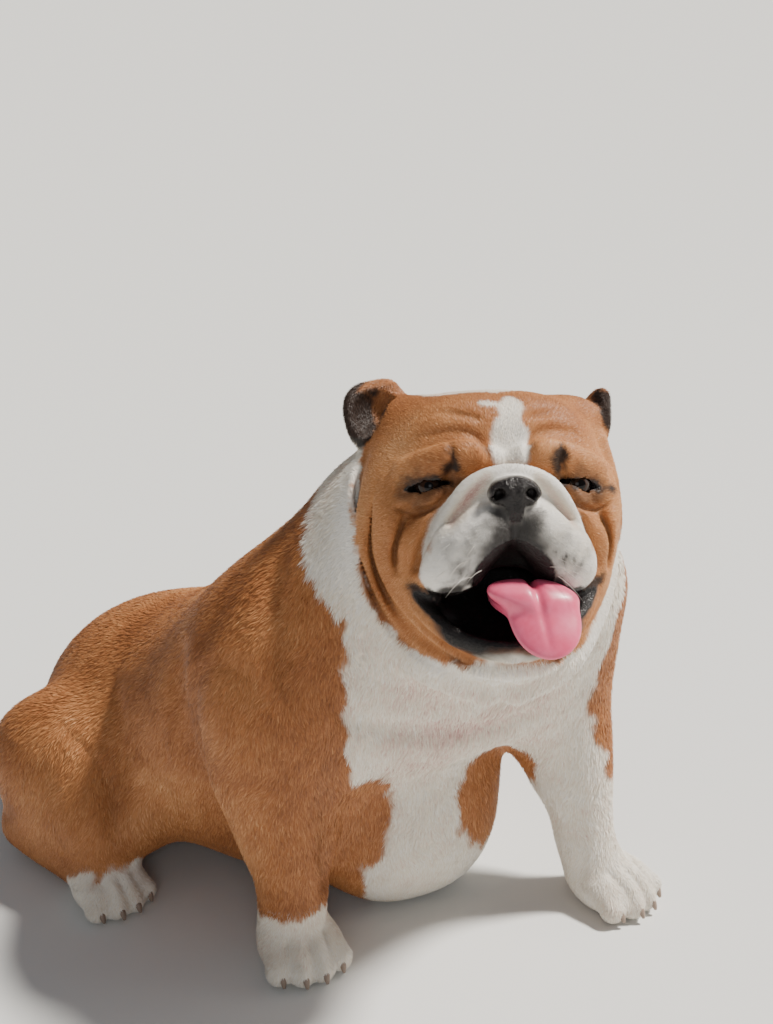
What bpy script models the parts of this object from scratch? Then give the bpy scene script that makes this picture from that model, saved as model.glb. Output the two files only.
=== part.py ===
# A life-size English bulldog sitting on the floor, its head turned and its tongue out.
# Metres, +Z up. The dog's hips face -Y, its left is +X, and the floor is z = 0.
import bmesh
import bpy
import numpy as np
import openvdb
from mathutils import Euler, Matrix, Vector

# Driving dimensions
headWidth = 0.205        # across the cheeks, the measure that every part of the head follows
eyeRadius = 0.0115
pawWidth = 0.070
partingGap = 0.0003      # between one node and the next
claySpacing = 0.003      # size of the clay's cells
tongueSpacing = 0.002
bodyTriangles = 6500     # faces left on the body before it is parted
tongueTriangles = 500

# Where the head sits on the neck, and how it is turned from the way the hips face, in degrees
headCentre = (0.0115, -0.1755, 0.416)
headTurn = dict(yaw=-47.0, pitch=23.5, roll=1.0)


# Clay: signed distances on a grid, negative inside, joined and cut with rounded edges.

class Frame:
    """A place and a turn in which measures are given: x to the dog's left, y to its back, z up."""

    def __init__(self, centre=(0, 0, 0), yaw=0.0, pitch=0.0, roll=0.0, size=1.0):
        turn = Matrix.Rotation(np.radians(yaw), 3, "Z")
        turn = turn @ Matrix.Rotation(np.radians(-pitch), 3, "X")
        turn = turn @ Matrix.Rotation(np.radians(roll), 3, "Y")
        self.turn = np.array(turn)
        self.centre = np.array(centre, float)
        self.size = size

    def at(self, point):
        return self.centre + self.turn @ (np.array(point, float) * self.size)

    def inside(self, centre, angles=(0, 0, 0)):
        """A frame at a point of this one, turned by angles in degrees about its x, y and z."""
        frame = Frame(self.at(centre), size=self.size)
        frame.turn = self.turn @ np.array(Euler(np.radians(angles)).to_matrix())
        return frame


world = Frame()


def ball(frame, centre, radii, angles=(0, 0, 0), power=2.0):
    """Superellipsoid: with q the point over the radii, s = (sum |q|^p)^(1/p), and (s - 1) / |grad s|."""
    own = frame.inside(centre, angles)
    radii = np.array(radii, float) * frame.size
    reach = np.abs(own.turn * radii).sum(axis=1)

    def distance(x, y, z):
        local = [x - own.centre[0], y - own.centre[1], z - own.centre[2]]
        total, slope = 0, 0
        for axis in range(3):
            along = sum(float(own.turn[i, axis]) * local[i] for i in range(3))
            share = np.abs(along) / float(radii[axis])
            total = total + share**power
            slope = slope + (share ** (power - 1) / float(radii[axis])) ** 2
        size = total ** (1 / power)
        return (size - 1) * size ** (power - 1) / np.sqrt(slope + 1e-9)

    return own.centre - reach, own.centre + reach, distance


def smoothPath(points, steps):
    """A curve through the points, steps to each stretch, by the Catmull-Rom rule."""
    points = np.array(points, float)
    if len(points) < 3:
        steps = 1
    ends = np.vstack([2 * points[0] - points[1], points, 2 * points[-1] - points[-2]])
    share = np.arange(steps)[:, None] / steps
    runs = []
    for a, b, c, d in zip(ends[:-3], ends[1:-2], ends[2:-1], ends[3:]):
        runs.append(0.5 * (2 * b + (c - a) * share + (2 * a - 5 * b + 4 * c - d) * share**2
                           + (3 * b - a - 3 * c + d) * share**3))
    return np.vstack(runs + [points[-1:]])


def limb(frame, points, steps=4):
    """Rounded tube: each point is x, y, z and the radius there, and stretches taper between them."""
    path = smoothPath(points, steps) * frame.size
    centres = path[:, :3] @ frame.turn.T + frame.centre
    radii = path[:, 3]

    def distance(x, y, z):
        best = None
        for a, b, ra, rb in zip(centres[:-1], centres[1:], radii[:-1], radii[1:]):
            run = b - a
            p = [x - a[0], y - a[1], z - a[2]]
            share = (p[0] * run[0] + p[1] * run[1] + p[2] * run[2]) / max(run @ run, 1e-12)
            share = np.clip(share, 0, 1)
            gap = sum((p[i] - share * run[i]) ** 2 for i in range(3))
            here = np.sqrt(gap) - (ra + share * (rb - ra))
            best = here if best is None else np.minimum(best, here)
        return best

    return (centres - radii[:, None]).min(axis=0), (centres + radii[:, None]).max(axis=0), distance


def barrel(frame, stations, steps=4):
    """A body round a path: x, y, z, half width, depth to the back, depth to the belly, twist in degrees."""
    path = smoothPath(stations, steps)
    centres = path[:, :3] @ frame.turn.T + frame.centre
    widths, backs, bellies, twists = path[:, 3:].T
    reach = path[:, 3:6].max(axis=1)[:, None]
    tangents = np.gradient(centres, axis=0)
    tangents /= np.linalg.norm(tangents, axis=1)[:, None]
    across = np.stack([np.cos(np.radians(twists)), np.sin(np.radians(twists)), 0 * twists], axis=1)
    across -= tangents * (across * tangents).sum(axis=1)[:, None]
    across /= np.linalg.norm(across, axis=1)[:, None]
    outward = np.cross(tangents, across)

    def distance(x, y, z):
        best = None
        for i in range(len(path) - 1):
            run = centres[i + 1] - centres[i]
            length = float(np.linalg.norm(run))
            run = run / length
            p = [x - centres[i][0], y - centres[i][1], z - centres[i][2]]
            along = sum(float(run[k]) * p[k] for k in range(3))
            share = np.clip(along / length, 0, 1)
            beyond = along - share * length
            p = [p[k] - along * float(run[k]) for k in range(3)]
            side, depth = 0, 0
            for k in range(3):
                side = side + (across[i][k] + share * (across[i + 1][k] - across[i][k])) * p[k]
                depth = depth + (outward[i][k] + share * (outward[i + 1][k] - outward[i][k])) * p[k]
            wide = widths[i] + share * (widths[i + 1] - widths[i])
            back = backs[i] + share * (backs[i + 1] - backs[i])
            belly = bellies[i] + share * (bellies[i + 1] - bellies[i])
            tall = np.where(depth > 0, back, belly)
            size = np.sqrt((side / wide) ** 2 + (depth / tall) ** 2 + (beyond / tall) ** 2 + 1e-9)
            slope = np.sqrt((side / wide**2) ** 2 + (depth / tall**2) ** 2 + (beyond / tall**2) ** 2 + 1e-9)
            here = (size - 1) * size / slope
            best = here if best is None else np.minimum(best, here)
        return best

    return (centres - reach).min(axis=0), (centres + reach).max(axis=0), distance


def roundedLess(a, b, width):
    """The lesser of a and b, with the crease between them rounded over width."""
    if width <= 0:
        return np.minimum(a, b)
    share = np.clip(1 - np.abs(a - b) / (1.5 * width), 0, 1)
    return np.minimum(a, b) - width / 4 * share**3


class Clay:
    def __init__(self, low, high, spacing):
        self.axes = [np.arange(a, b + spacing, spacing, dtype=np.float32) for a, b in zip(low, high)]
        self.depth = np.full([len(axis) for axis in self.axes], 1.0, np.float32)

    def near(self, low, high, margin):
        spans = []
        for axis, a, b in zip(self.axes, low, high):
            first = int(np.searchsorted(axis, a - margin))
            last = int(np.searchsorted(axis, b + margin))
            spans.append(slice(max(first - 1, 0), last + 1))
        points = [axis[span] for axis, span in zip(self.axes, spans)]
        return tuple(spans), np.meshgrid(*points, indexing="ij", sparse=True)

    def add(self, form, blend=0.0):
        low, high, distance = form
        spans, points = self.near(low, high, 1.5 * blend + 0.004)
        self.depth[spans] = roundedLess(self.depth[spans], distance(*points), blend)

    def cut(self, form, blend=0.0):
        low, high, distance = form
        spans, points = self.near(low, high, 1.5 * blend + 0.004)
        self.depth[spans] = -roundedLess(-self.depth[spans], distance(*points), blend)

    def flatten(self, level):
        """Nothing is left below this height."""
        self.depth = np.maximum(self.depth, level - self.axes[2][None, None, :])

    def surface(self):
        """Points and quads of the surface, where the distance is nought."""
        grid = openvdb.FloatGrid()
        grid.copyFromArray(self.depth)
        points, quads = grid.convertToQuads(0.0)
        places = [np.interp(points[:, i], np.arange(len(axis)), axis) for i, axis in enumerate(self.axes)]
        return np.stack(places, axis=1), quads


# Trunk
spine = [
    # x, y, z, half width, depth to the back, depth to the belly, twist, from the rump up to the nape
    (0.000, 0.260, 0.080, 0.076, 0.066, 0.066, 0),
    (0.000, 0.196, 0.102, 0.118, 0.110, 0.100, 0),
    (0.000, 0.110, 0.136, 0.132, 0.110, 0.128, 0),
    (0.000, 0.030, 0.184, 0.138, 0.110, 0.125, -5),
    (0.004, -0.040, 0.245, 0.136, 0.098, 0.115, -15),
    (0.008, -0.100, 0.318, 0.120, 0.094, 0.098, -28),
    (0.008, -0.148, 0.388, 0.092, 0.084, 0.080, -38),
]
trunkMasses = [
    # centre, radii, angles, power, blend
    ((0.034, -0.070, 0.098), (0.090, 0.074, 0.106), (0, 0, -28), 2.4, 0.035),  # underside, down to the floor
    ((0.010, 0.030, 0.104), (0.105, 0.110, 0.102), (0, 0, 0), 2.0, 0.040),     # belly behind it
    ((0.018, -0.108, 0.236), (0.128, 0.080, 0.080), (0, 0, -32), 2.0, 0.030),  # breast
    ((-0.078, -0.026, 0.236), (0.064, 0.088, 0.108), (25, 12, -16), 2.0, 0.05),  # right shoulder
    ((0.111, -0.156, 0.280), (0.069, 0.084, 0.108), (18, -6, -30), 2.0, 0.05),   # left shoulder
    ((0.026, -0.160, 0.318), (0.112, 0.072, 0.072), (0, 0, -42), 2.0, 0.04),   # skin of the throat
    ((-0.010, -0.094, 0.382), (0.048, 0.044, 0.044), (0, 0, -40), 2.0, 0.03),  # scruff of the neck
]


def shapeTrunk(clay):
    clay.add(barrel(world, spine, steps=8), 0.0)
    for centre, radii, angles, power, blend in trunkMasses:
        clay.add(ball(world, centre, radii, angles, power), blend)


def shapePaw(clay, place, yaw, width):
    """A rounded foot with four toes on the floor, the middle two ahead."""
    foot = Frame(place, yaw=yaw, size=width / 0.070)
    clay.add(ball(foot, (0, -0.002, 0.017), (0.036, 0.038, 0.024)), 0.012)
    for toe in (-1.5, -0.5, 0.5, 1.5):
        spread = 0.0175 * toe
        ahead = 0.032 - 0.004 * toe * toe
        clay.add(limb(foot, [(spread * 0.8, -0.005, 0.022, 0.012), (spread, -ahead, 0.0125, 0.0125)]), 0.004)


def shapeForeLegs(clay):
    # from the shoulder blade down to the wrist
    right = [(-0.064, -0.015, 0.262, 0.036), (-0.100, -0.040, 0.245, 0.050), (-0.112, -0.058, 0.170, 0.040),
             (-0.110, -0.066, 0.110, 0.034), (-0.109, -0.066, 0.060, 0.030), (-0.109, -0.064, 0.030, 0.029)]
    left = [(0.070, -0.110, 0.280, 0.036), (0.108, -0.148, 0.248, 0.050), (0.120, -0.186, 0.170, 0.041),
            (0.122, -0.202, 0.110, 0.032), (0.122, -0.212, 0.060, 0.028), (0.124, -0.222, 0.030, 0.028)]
    clay.add(limb(world, right, steps=8), 0.045)
    clay.add(limb(world, left, steps=8), 0.045)
    # point of the elbow
    clay.add(limb(world, [(-0.118, -0.030, 0.175, 0.028), (-0.112, -0.055, 0.120, 0.024)]), 0.03)
    clay.add(limb(world, [(0.126, -0.150, 0.175, 0.028), (0.122, -0.185, 0.120, 0.024)]), 0.03)
    # valley behind the right shoulder and elbow
    valley = [(-0.142, 0.034, 0.262, 0.004), (-0.150, 0.016, 0.200, 0.008), (-0.142, 0.002, 0.140, 0.010),
              (-0.128, -0.006, 0.080, 0.010)]
    clay.cut(limb(world, valley), 0.030)
    shapePaw(clay, (-0.111, -0.076, 0.0), -30, pawWidth)
    shapePaw(clay, (0.126, -0.240, 0.0), -8, pawWidth)


def shapeHindLegs(clay):
    for side in (-1, 1):
        clay.add(ball(world, (side * 0.114, 0.182, 0.088), (0.062, 0.104, 0.078), (0, 0, side * -10)), 0.030)
        clay.add(limb(world, [(side * 0.135, 0.135, 0.07, 0.044), (side * 0.135, 0.20, 0.045, 0.036)]), 0.03)
        clay.add(limb(world, [(side * 0.148, 0.23, 0.03, 0.026), (side * 0.152, 0.12, 0.022, 0.025)]), 0.015)
        shapePaw(clay, (side * 0.155, 0.114, 0.0), side * 12, pawWidth * 0.92)


def mirrored(side, points):
    return [(side * p[0],) + tuple(p[1:]) for p in points]


def shapeHead(clay):
    head = Frame(headCentre, **headTurn, size=headWidth / 0.208)
    sides = (-1, 1)
    clay.add(ball(head, (0, 0.011, 0.018), (0.082, 0.079, 0.059), power=2.5), 0.02)        # skull
    clay.add(limb(head, [(0, 0.030, -0.030, 0.068), (0, 0.050, -0.080, 0.070)]), 0.03)      # top of neck
    clay.add(ball(head, (0, -0.012, -0.120), (0.070, 0.045, 0.036), (24, 0, 0)), 0.03)      # throat
    for side in sides:
        clay.add(ball(head, (side * 0.062, 0.000, -0.022), (0.038, 0.060, 0.050)), 0.02)    # cheek
        clay.add(ball(head, (side * 0.048, -0.012, -0.066), (0.038, 0.050, 0.038)), 0.02)   # jaw muscle
    clay.add(ball(head, (0, -0.046, -0.034), (0.060, 0.046, 0.042), power=2.3), 0.02)       # muzzle
    clay.add(ball(head, (0, -0.072, -0.016), (0.044, 0.022, 0.020)), 0.012)
    for side in sides:
        # the skull's corner, under the ear
        clay.add(ball(head, (side * 0.062, 0.022, 0.050), (0.032, 0.030, 0.024), (0, side * -8, 0)), 0.016)
    furrow = [(0, -0.084, 0.030, 0.006), (0, -0.072, 0.062, 0.006), (0, -0.04, 0.086, 0.005)]
    clay.cut(limb(head, furrow), 0.016)
    for side in sides:
        brow = [(0.008, -0.066, 0.016, 0.010), (0.024, -0.069, 0.020, 0.013), (0.046, -0.064, 0.018, 0.013),
                (0.070, -0.046, 0.011, 0.011)]
        clay.add(limb(head, mirrored(side, brow)), 0.005)
        # crease above the brow
        crease = [(0.008, -0.070, 0.037, 0.001), (0.030, -0.070, 0.041, 0.0015),
                  (0.056, -0.058, 0.037, 0.001)]
        clay.cut(limb(head, mirrored(side, crease)), 0.008)
        # lids round the eye, and the slit between them
        clay.add(limb(head, mirrored(side, [(0.040, -0.066, 0.004, 0.006), (0.056, -0.061, 0.009, 0.007),
                                            (0.075, -0.046, 0.002, 0.007)])), 0.004)
        clay.add(limb(head, mirrored(side, [(0.040, -0.066, -0.004, 0.005), (0.056, -0.060, -0.010, 0.006),
                                            (0.075, -0.045, -0.006, 0.006)])), 0.005)
        slit = ball(head, (side * 0.057, -0.066, -0.0005), (0.018, 0.016, 0.0030), (0, side * 8, side * 30))
        clay.cut(slit, 0.002)
        # hollow below the eye, and the folds from it to the corner of the mouth
        clay.cut(ball(head, (side * 0.068, -0.064, -0.025), (0.007, 0.008, 0.008)), 0.014)
        fold = [(0.084, -0.022, 0.004, 0.009), (0.080, -0.036, -0.016, 0.010),
                (0.074, -0.048, -0.034, 0.010), (0.074, -0.044, -0.050, 0.009),
                (0.069, -0.040, -0.066, 0.008)]
        clay.add(limb(head, mirrored(side, fold)), 0.010)
        clay.add(limb(head, mirrored(side, [(0.048, -0.068, -0.012, 0.006), (0.060, -0.060, -0.030, 0.008),
                                            (0.068, -0.052, -0.044, 0.008)])), 0.010)
    # the open mouth
    clay.cut(ball(head, (0, -0.070, -0.084), (0.058, 0.046, 0.016), (38, 0, 0)), 0.004)
    clay.cut(ball(head, (0, -0.098, -0.076), (0.027, 0.034, 0.030), (20, 0, 0)), 0.006)
    # lower jaw and its lip
    clay.add(ball(head, (0, -0.044, -0.116), (0.050, 0.046, 0.020), (28, 0, 0)), 0.010)
    lip = [(0, -0.088, -0.119, 0.010), (0.034, -0.078, -0.112, 0.009), (0.056, -0.058, -0.096, 0.008),
           (0.068, -0.042, -0.078, 0.007)]
    clay.add(limb(head, mirrored(-1, lip[:0:-1]) + lip), 0.006)
    clay.cut(ball(head, (0, -0.056, -0.090), (0.046, 0.044, 0.015), (38, 0, 0)), 0.006)
    for side in sides:
        # upper lip, hanging in a lobe on each side
        lobe = [(0.016, -0.090, -0.032, 0.019), (0.031, -0.084, -0.044, 0.023),
                (0.041, -0.073, -0.056, 0.024), (0.050, -0.056, -0.062, 0.018)]
        clay.add(limb(head, mirrored(side, lobe)), 0.004)
        # folds from the ear round the jaw to the throat
        outer = [(0.084, 0.006, 0.034, 0.011), (0.090, 0.002, 0.004, 0.011),
                 (0.089, -0.002, -0.028, 0.012), (0.080, -0.008, -0.060, 0.012),
                 (0.062, -0.020, -0.092, 0.012), (0.038, -0.038, -0.122, 0.011),
                 (0.010, -0.054, -0.138, 0.010)]
        inner = [(0.080, -0.026, -0.052, 0.008), (0.072, -0.034, -0.082, 0.008),
                 (0.052, -0.050, -0.110, 0.008), (0.022, -0.070, -0.130, 0.009)]
        collar = [(0.074, 0.046, 0.034, 0.012), (0.088, 0.036, -0.020, 0.015), (0.084, 0.018, -0.080, 0.015),
                  (0.052, -0.008, -0.132, 0.014), (0.012, -0.026, -0.154, 0.012)]
        clay.add(limb(head, mirrored(side, outer)), 0.006)
        clay.add(limb(head, mirrored(side, inner)), 0.005)
        clay.add(limb(head, mirrored(side, collar)), 0.012)
    # rope of skin over the nose
    rope = [(0.000, -0.090, 0.0065, 0.0075), (0.020, -0.088, 0.0015, 0.0085),
            (0.037, -0.082, -0.012, 0.0095), (0.050, -0.072, -0.030, 0.0095), (0.057, -0.062, -0.048, 0.009)]
    clay.add(limb(head, mirrored(-1, rope[:0:-1]) + rope), 0.003)
    # nose
    clay.add(ball(head, (0, -0.097, -0.007), (0.0175, 0.015, 0.0120), (-12, 0, 0), power=2.4), 0.002)
    clay.add(ball(head, (0, -0.096, -0.018), (0.012, 0.013, 0.012)), 0.006)
    clay.cut(limb(head, [(0, -0.116, -0.010, 0.0008), (0, -0.120, -0.046, 0.0015)]), 0.004)
    for side in sides:
        clay.add(ball(head, (side * 0.0130, -0.102, -0.009), (0.0070, 0.0090, 0.0080)), 0.003)
        nostril = [(0.0085, -0.120, -0.009, 0.0036), (0.0120, -0.104, -0.008, 0.003)]
        wing = [(0.0115, -0.115, -0.012, 0.0012), (0.0180, -0.106, -0.014, 0.0010)]
        clay.cut(limb(head, mirrored(side, nostril)), 0.002)
        clay.cut(limb(head, mirrored(side, wing)), 0.002)
    # right ear flops outward and shows its cup, the left one is folded back
    ear = head.inside((-0.089, 0.024, 0.060), (-8, -24, 22))
    clay.add(ball(ear, (0, 0, -0.002), (0.027, 0.009, 0.030), (0, 14, 0), power=2.4), 0.006)
    clay.add(limb(ear, [(0.022, 0, -0.018, 0.011), (0.020, 0.002, 0.012, 0.010)]), 0.010)
    clay.cut(ball(ear, (-0.002, -0.009, 0.000), (0.019, 0.010, 0.020), (0, 14, 0)), 0.003)
    ear = head.inside((0.089, 0.032, 0.054), (-20, 12, 12))
    clay.add(ball(ear, (0, 0, 0), (0.008, 0.025, 0.027), power=2.6), 0.006)
    clay.add(limb(ear, [(-0.008, 0, -0.014, 0.012), (-0.002, 0, 0.008, 0.009)]), 0.008)
    clay.cut(ball(ear, (0.009, -0.006, 0.001), (0.009, 0.016, 0.018)), 0.003)


def shapeTail(clay):
    clay.add(limb(world, [(0, 0.27, 0.07, 0.028), (0, 0.31, 0.04, 0.018), (0.01, 0.325, 0.02, 0.012)]), 0.02)


def shapeDog(spacing):
    clay = Clay((-0.24, -0.34, -0.01), (0.24, 0.36, 0.53), spacing)
    shapeTrunk(clay)
    shapeForeLegs(clay)
    shapeHindLegs(clay)
    shapeTail(clay)
    shapeHead(clay)
    clay.flatten(0.0)
    return clay


def shapeTongue(spacing):
    head = Frame(headCentre, **headTurn, size=headWidth / 0.208)
    middle = head.at((0.01, -0.085, -0.095))
    clay = Clay(middle - 0.07, middle + 0.07, spacing)
    clay.add(ball(head, (0.012, -0.064, -0.084), (0.026, 0.036, 0.008), (14, 0, 0), power=2.4))
    clay.add(ball(head, (0.013, -0.093, -0.081), (0.033, 0.014, 0.009), (30, 8, 0), power=2.2), 0.008)
    clay.add(ball(head, (0.021, -0.103, -0.100), (0.0245, 0.007, 0.029), (-29.5, -14, 0), power=2.0), 0.012)
    clay.cut(limb(head, [(0.004, -0.060, -0.073, 0.001), (0.014, -0.098, -0.071, 0.001),
                         (0.018, -0.118, -0.099, 0.001), (0.019, -0.126, -0.118, 0.001)]), 0.006)
    return clay


# Blocks that part the body into nodes: each takes what lies inside it from what is left.
# name, frame, centre, half sizes, angles in degrees
def partingBlocks():
    head = Frame(headCentre, **headTurn, size=headWidth / 0.208)
    blocks = []
    for side, word in ((1, "left"), (-1, "right")):
        place = (side * 0.116, 0.030, 0.095)
        blocks.append(("ear_" + word, head, place, (0.040, 0.050, 0.050), (0, side * 30, 0)))
    blocks += [
        ("nose", head, (0, -0.125, -0.006), (0.026, 0.025, 0.022), (0, 0, 0)),
        # from the corners of the mouth down and forward
        ("lower_jaw", head, (0, -0.0745, -0.1215), (0.090, 0.045, 0.031), (22.8, 0, 0)),
        # ahead of and above a plane from under the chin to behind the nape
        ("head", head, (0, -0.1377, 0.0695), (0.22, 0.25, 0.200), (48.7, 0, 0)),
        # ahead of and above a plane across the withers
        ("neck", world, (0, -0.175, 0.4185), (0.22, 0.20, 0.100), (33.4, 0, 0)),
        ("forepaw_right", world, (-0.117, -0.085, 0.010), (0.050, 0.065, 0.034), (0, 0, 0)),
        ("forepaw_left", world, (0.124, -0.245, 0.010), (0.055, 0.065, 0.034), (0, 0, 0)),
        ("foreleg_right", world, (-0.140, -0.060, 0.080), (0.060, 0.075, 0.080), (0, -6, 0)),
        ("foreleg_left", world, (0.140, -0.235, 0.080), (0.062, 0.100, 0.080), (0, 6, 0)),
        ("upper_arm_right", world, (-0.150, -0.035, 0.220), (0.060, 0.095, 0.080), (0, 0, -14)),
        ("upper_arm_left", world, (0.150, -0.155, 0.220), (0.062, 0.115, 0.080), (0, 0, -14)),
        ("tail", world, (0, 0.340, 0.050), (0.040, 0.050, 0.060), (20, 0, 0)),
        ("hindpaw_right", world, (-0.160, 0.070, 0.010), (0.050, 0.062, 0.036), (0, 0, 0)),
        ("hindpaw_left", world, (0.160, 0.070, 0.010), (0.050, 0.062, 0.036), (0, 0, 0)),
        ("thigh_right", world, (-0.180, 0.200, 0.080), (0.095, 0.130, 0.130), (0, 0, 12)),
        ("thigh_left", world, (0.180, 0.200, 0.080), (0.095, 0.130, 0.130), (0, 0, -12)),
        ("chest", world, (0, -0.150, 0.20), (0.25, 0.20, 0.30), (-35, 0, 0)),
        ("rump", world, (0, 0.300, 0.100), (0.25, 0.130, 0.30), (-20, 0, 0)),
    ]
    return blocks


coat = dict(base=(0.42, 0.19, 0.075, 1), rough=0.8)
cream = dict(base=(0.80, 0.76, 0.70, 1), rough=0.8)
black = dict(base=(0.025, 0.022, 0.022, 1), rough=0.35)
wet = dict(base=(0.80, 0.28, 0.33, 1), rough=0.3)
colours = {"nose": black, "tongue": wet, "eye_left": black, "eye_right": black, "forepaw_left": cream,
           "forepaw_right": cream, "foreleg_left": cream, "hindpaw_left": cream, "hindpaw_right": cream}


def newMesh(name, points, faces):
    mesh = bpy.data.meshes.new(name)
    mesh.from_pydata(np.asarray(points).tolist(), [], np.asarray(faces).tolist())
    mesh.update()
    item = bpy.data.objects.new(name, mesh)
    bpy.context.scene.collection.objects.link(item)
    return item


def blockMesh(name, frame, centre, half, angles, grow):
    """A box in the frame, larger on every side by grow."""
    own = frame.inside(centre, angles)
    corners = [[x, y, z] for x in (-1, 1) for y in (-1, 1) for z in (-1, 1)]
    reach = np.array(half) * own.size + grow
    points = own.centre + (np.array(corners) * reach) @ own.turn.T
    faces = [(0, 1, 3, 2), (4, 6, 7, 5), (0, 4, 5, 1), (2, 3, 7, 6), (0, 2, 6, 4), (1, 5, 7, 3)]
    return newMesh(name, points, faces)


def settle(item):
    """The object's modifiers are made part of its mesh."""
    graph = bpy.context.evaluated_depsgraph_get()
    mesh = bpy.data.meshes.new_from_object(item.evaluated_get(graph))
    item.modifiers.clear()
    old = item.data
    item.data = mesh
    bpy.data.meshes.remove(old)


def boolean(item, other, operation):
    step = item.modifiers.new("Boolean", "BOOLEAN")
    step.object = other
    step.operation = operation
    step.solver = "MANIFOLD"
    settle(item)


def copyOf(item, name):
    twin = bpy.data.objects.new(name, item.data.copy())
    bpy.context.scene.collection.objects.link(twin)
    return twin


def keepLargest(item):
    """Only the closed surface with the most volume stays."""
    body = bmesh.new()
    body.from_mesh(item.data)
    bmesh.ops.triangulate(body, faces=body.faces[:])
    bmesh.ops.remove_doubles(body, verts=body.verts[:], dist=0.000001)
    left = set(body.faces)
    shells = []
    while left:
        first = left.pop()
        shell, front = [first], [first]
        while front:
            face = front.pop()
            for edge in face.edges:
                for other in edge.link_faces:
                    if other in left:
                        left.discard(other)
                        shell.append(other)
                        front.append(other)
        volume = sum(f.verts[0].co.dot(f.verts[1].co.cross(f.verts[2].co)) for f in shell)
        shells.append((volume, shell))
    shells.sort(key=lambda pair: pair[0])
    for volume, shell in shells[:-1]:
        bmesh.ops.delete(body, geom=shell, context="FACES")
    loose = [v for v in body.verts if not v.link_faces]
    bmesh.ops.delete(body, geom=loose, context="VERTS")
    body.to_mesh(item.data)
    body.free()


def finish(item):
    keepLargest(item)
    item.data.shade_smooth()
    item.data.set_sharp_from_angle(angle=np.radians(50))
    look = colours.get(item.name, coat)
    material = bpy.data.materials.new(item.name)
    material.use_nodes = True
    shader = material.node_tree.nodes["Principled BSDF"]
    shader.inputs["Base Color"].default_value = look["base"]
    shader.inputs["Roughness"].default_value = look["rough"]
    item.data.materials.clear()
    item.data.materials.append(material)


def decimate(item, triangles):
    step = item.modifiers.new("Decimate", "DECIMATE")
    item.data.calc_loop_triangles()
    step.ratio = min(1.0, triangles / len(item.data.loop_triangles))
    settle(item)


def ballMesh(name, centre, radius, rings=10):
    mesh = bpy.data.meshes.new(name)
    body = bmesh.new()
    bmesh.ops.create_uvsphere(body, u_segments=2 * rings, v_segments=rings, radius=radius)
    bmesh.ops.translate(body, verts=body.verts[:], vec=Vector(centre))
    body.to_mesh(mesh)
    body.free()
    item = bpy.data.objects.new(name, mesh)
    bpy.context.scene.collection.objects.link(item)
    return item


def standOnOrigin(nodes):
    """The middle of the floor under the dog's bounding box becomes the origin."""
    points = np.array([v.co for node in nodes for v in node.data.vertices])
    middle = (points.min(axis=0) + points.max(axis=0)) / 2
    for node in nodes:
        node.data.transform(Matrix.Translation((-middle[0], -middle[1], -points[:, 2].min())))


def main():
    for item in list(bpy.data.objects):
        bpy.data.objects.remove(item)
    head = Frame(headCentre, **headTurn, size=headWidth / 0.208)
    body = newMesh("abdomen", *shapeDog(claySpacing).surface())
    decimate(body, bodyTriangles)
    nodes = []
    tongue = newMesh("tongue", *shapeTongue(tongueSpacing).surface())
    decimate(tongue, tongueTriangles)
    room = copyOf(tongue, "room")
    points = np.array([v.co + v.normal * partingGap * 1.3 for v in room.data.vertices])
    room.data.vertices.foreach_set("co", points.astype(np.float32).ravel())
    boolean(body, room, "DIFFERENCE")
    bpy.data.objects.remove(room)
    nodes.append(tongue)
    for side, word in ((1, "left"), (-1, "right")):
        place = head.at((side * 0.054, -0.053, 0.0))
        socket = ballMesh("socket", place, eyeRadius + partingGap)
        boolean(body, socket, "DIFFERENCE")
        bpy.data.objects.remove(socket)
        nodes.append(ballMesh("eye_" + word, place, eyeRadius))
    for name, frame, centre, half, angles in partingBlocks():
        block = blockMesh("block", frame, centre, half, angles, -partingGap / 2)
        piece = copyOf(body, name)
        boolean(piece, block, "INTERSECT")
        bpy.data.objects.remove(block)
        block = blockMesh("block", frame, centre, half, angles, partingGap / 2)
        boolean(body, block, "DIFFERENCE")
        bpy.data.objects.remove(block)
        nodes.append(piece)
    nodes.append(body)
    for node in nodes:
        finish(node)
    standOnOrigin(nodes)


if __name__ == "__main__":
    main()
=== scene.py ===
import math
from concurrent.futures import ThreadPoolExecutor

import bmesh
import bpy
import numpy as np
import openvdb
from mathutils import Euler, Matrix, Vector


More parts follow.
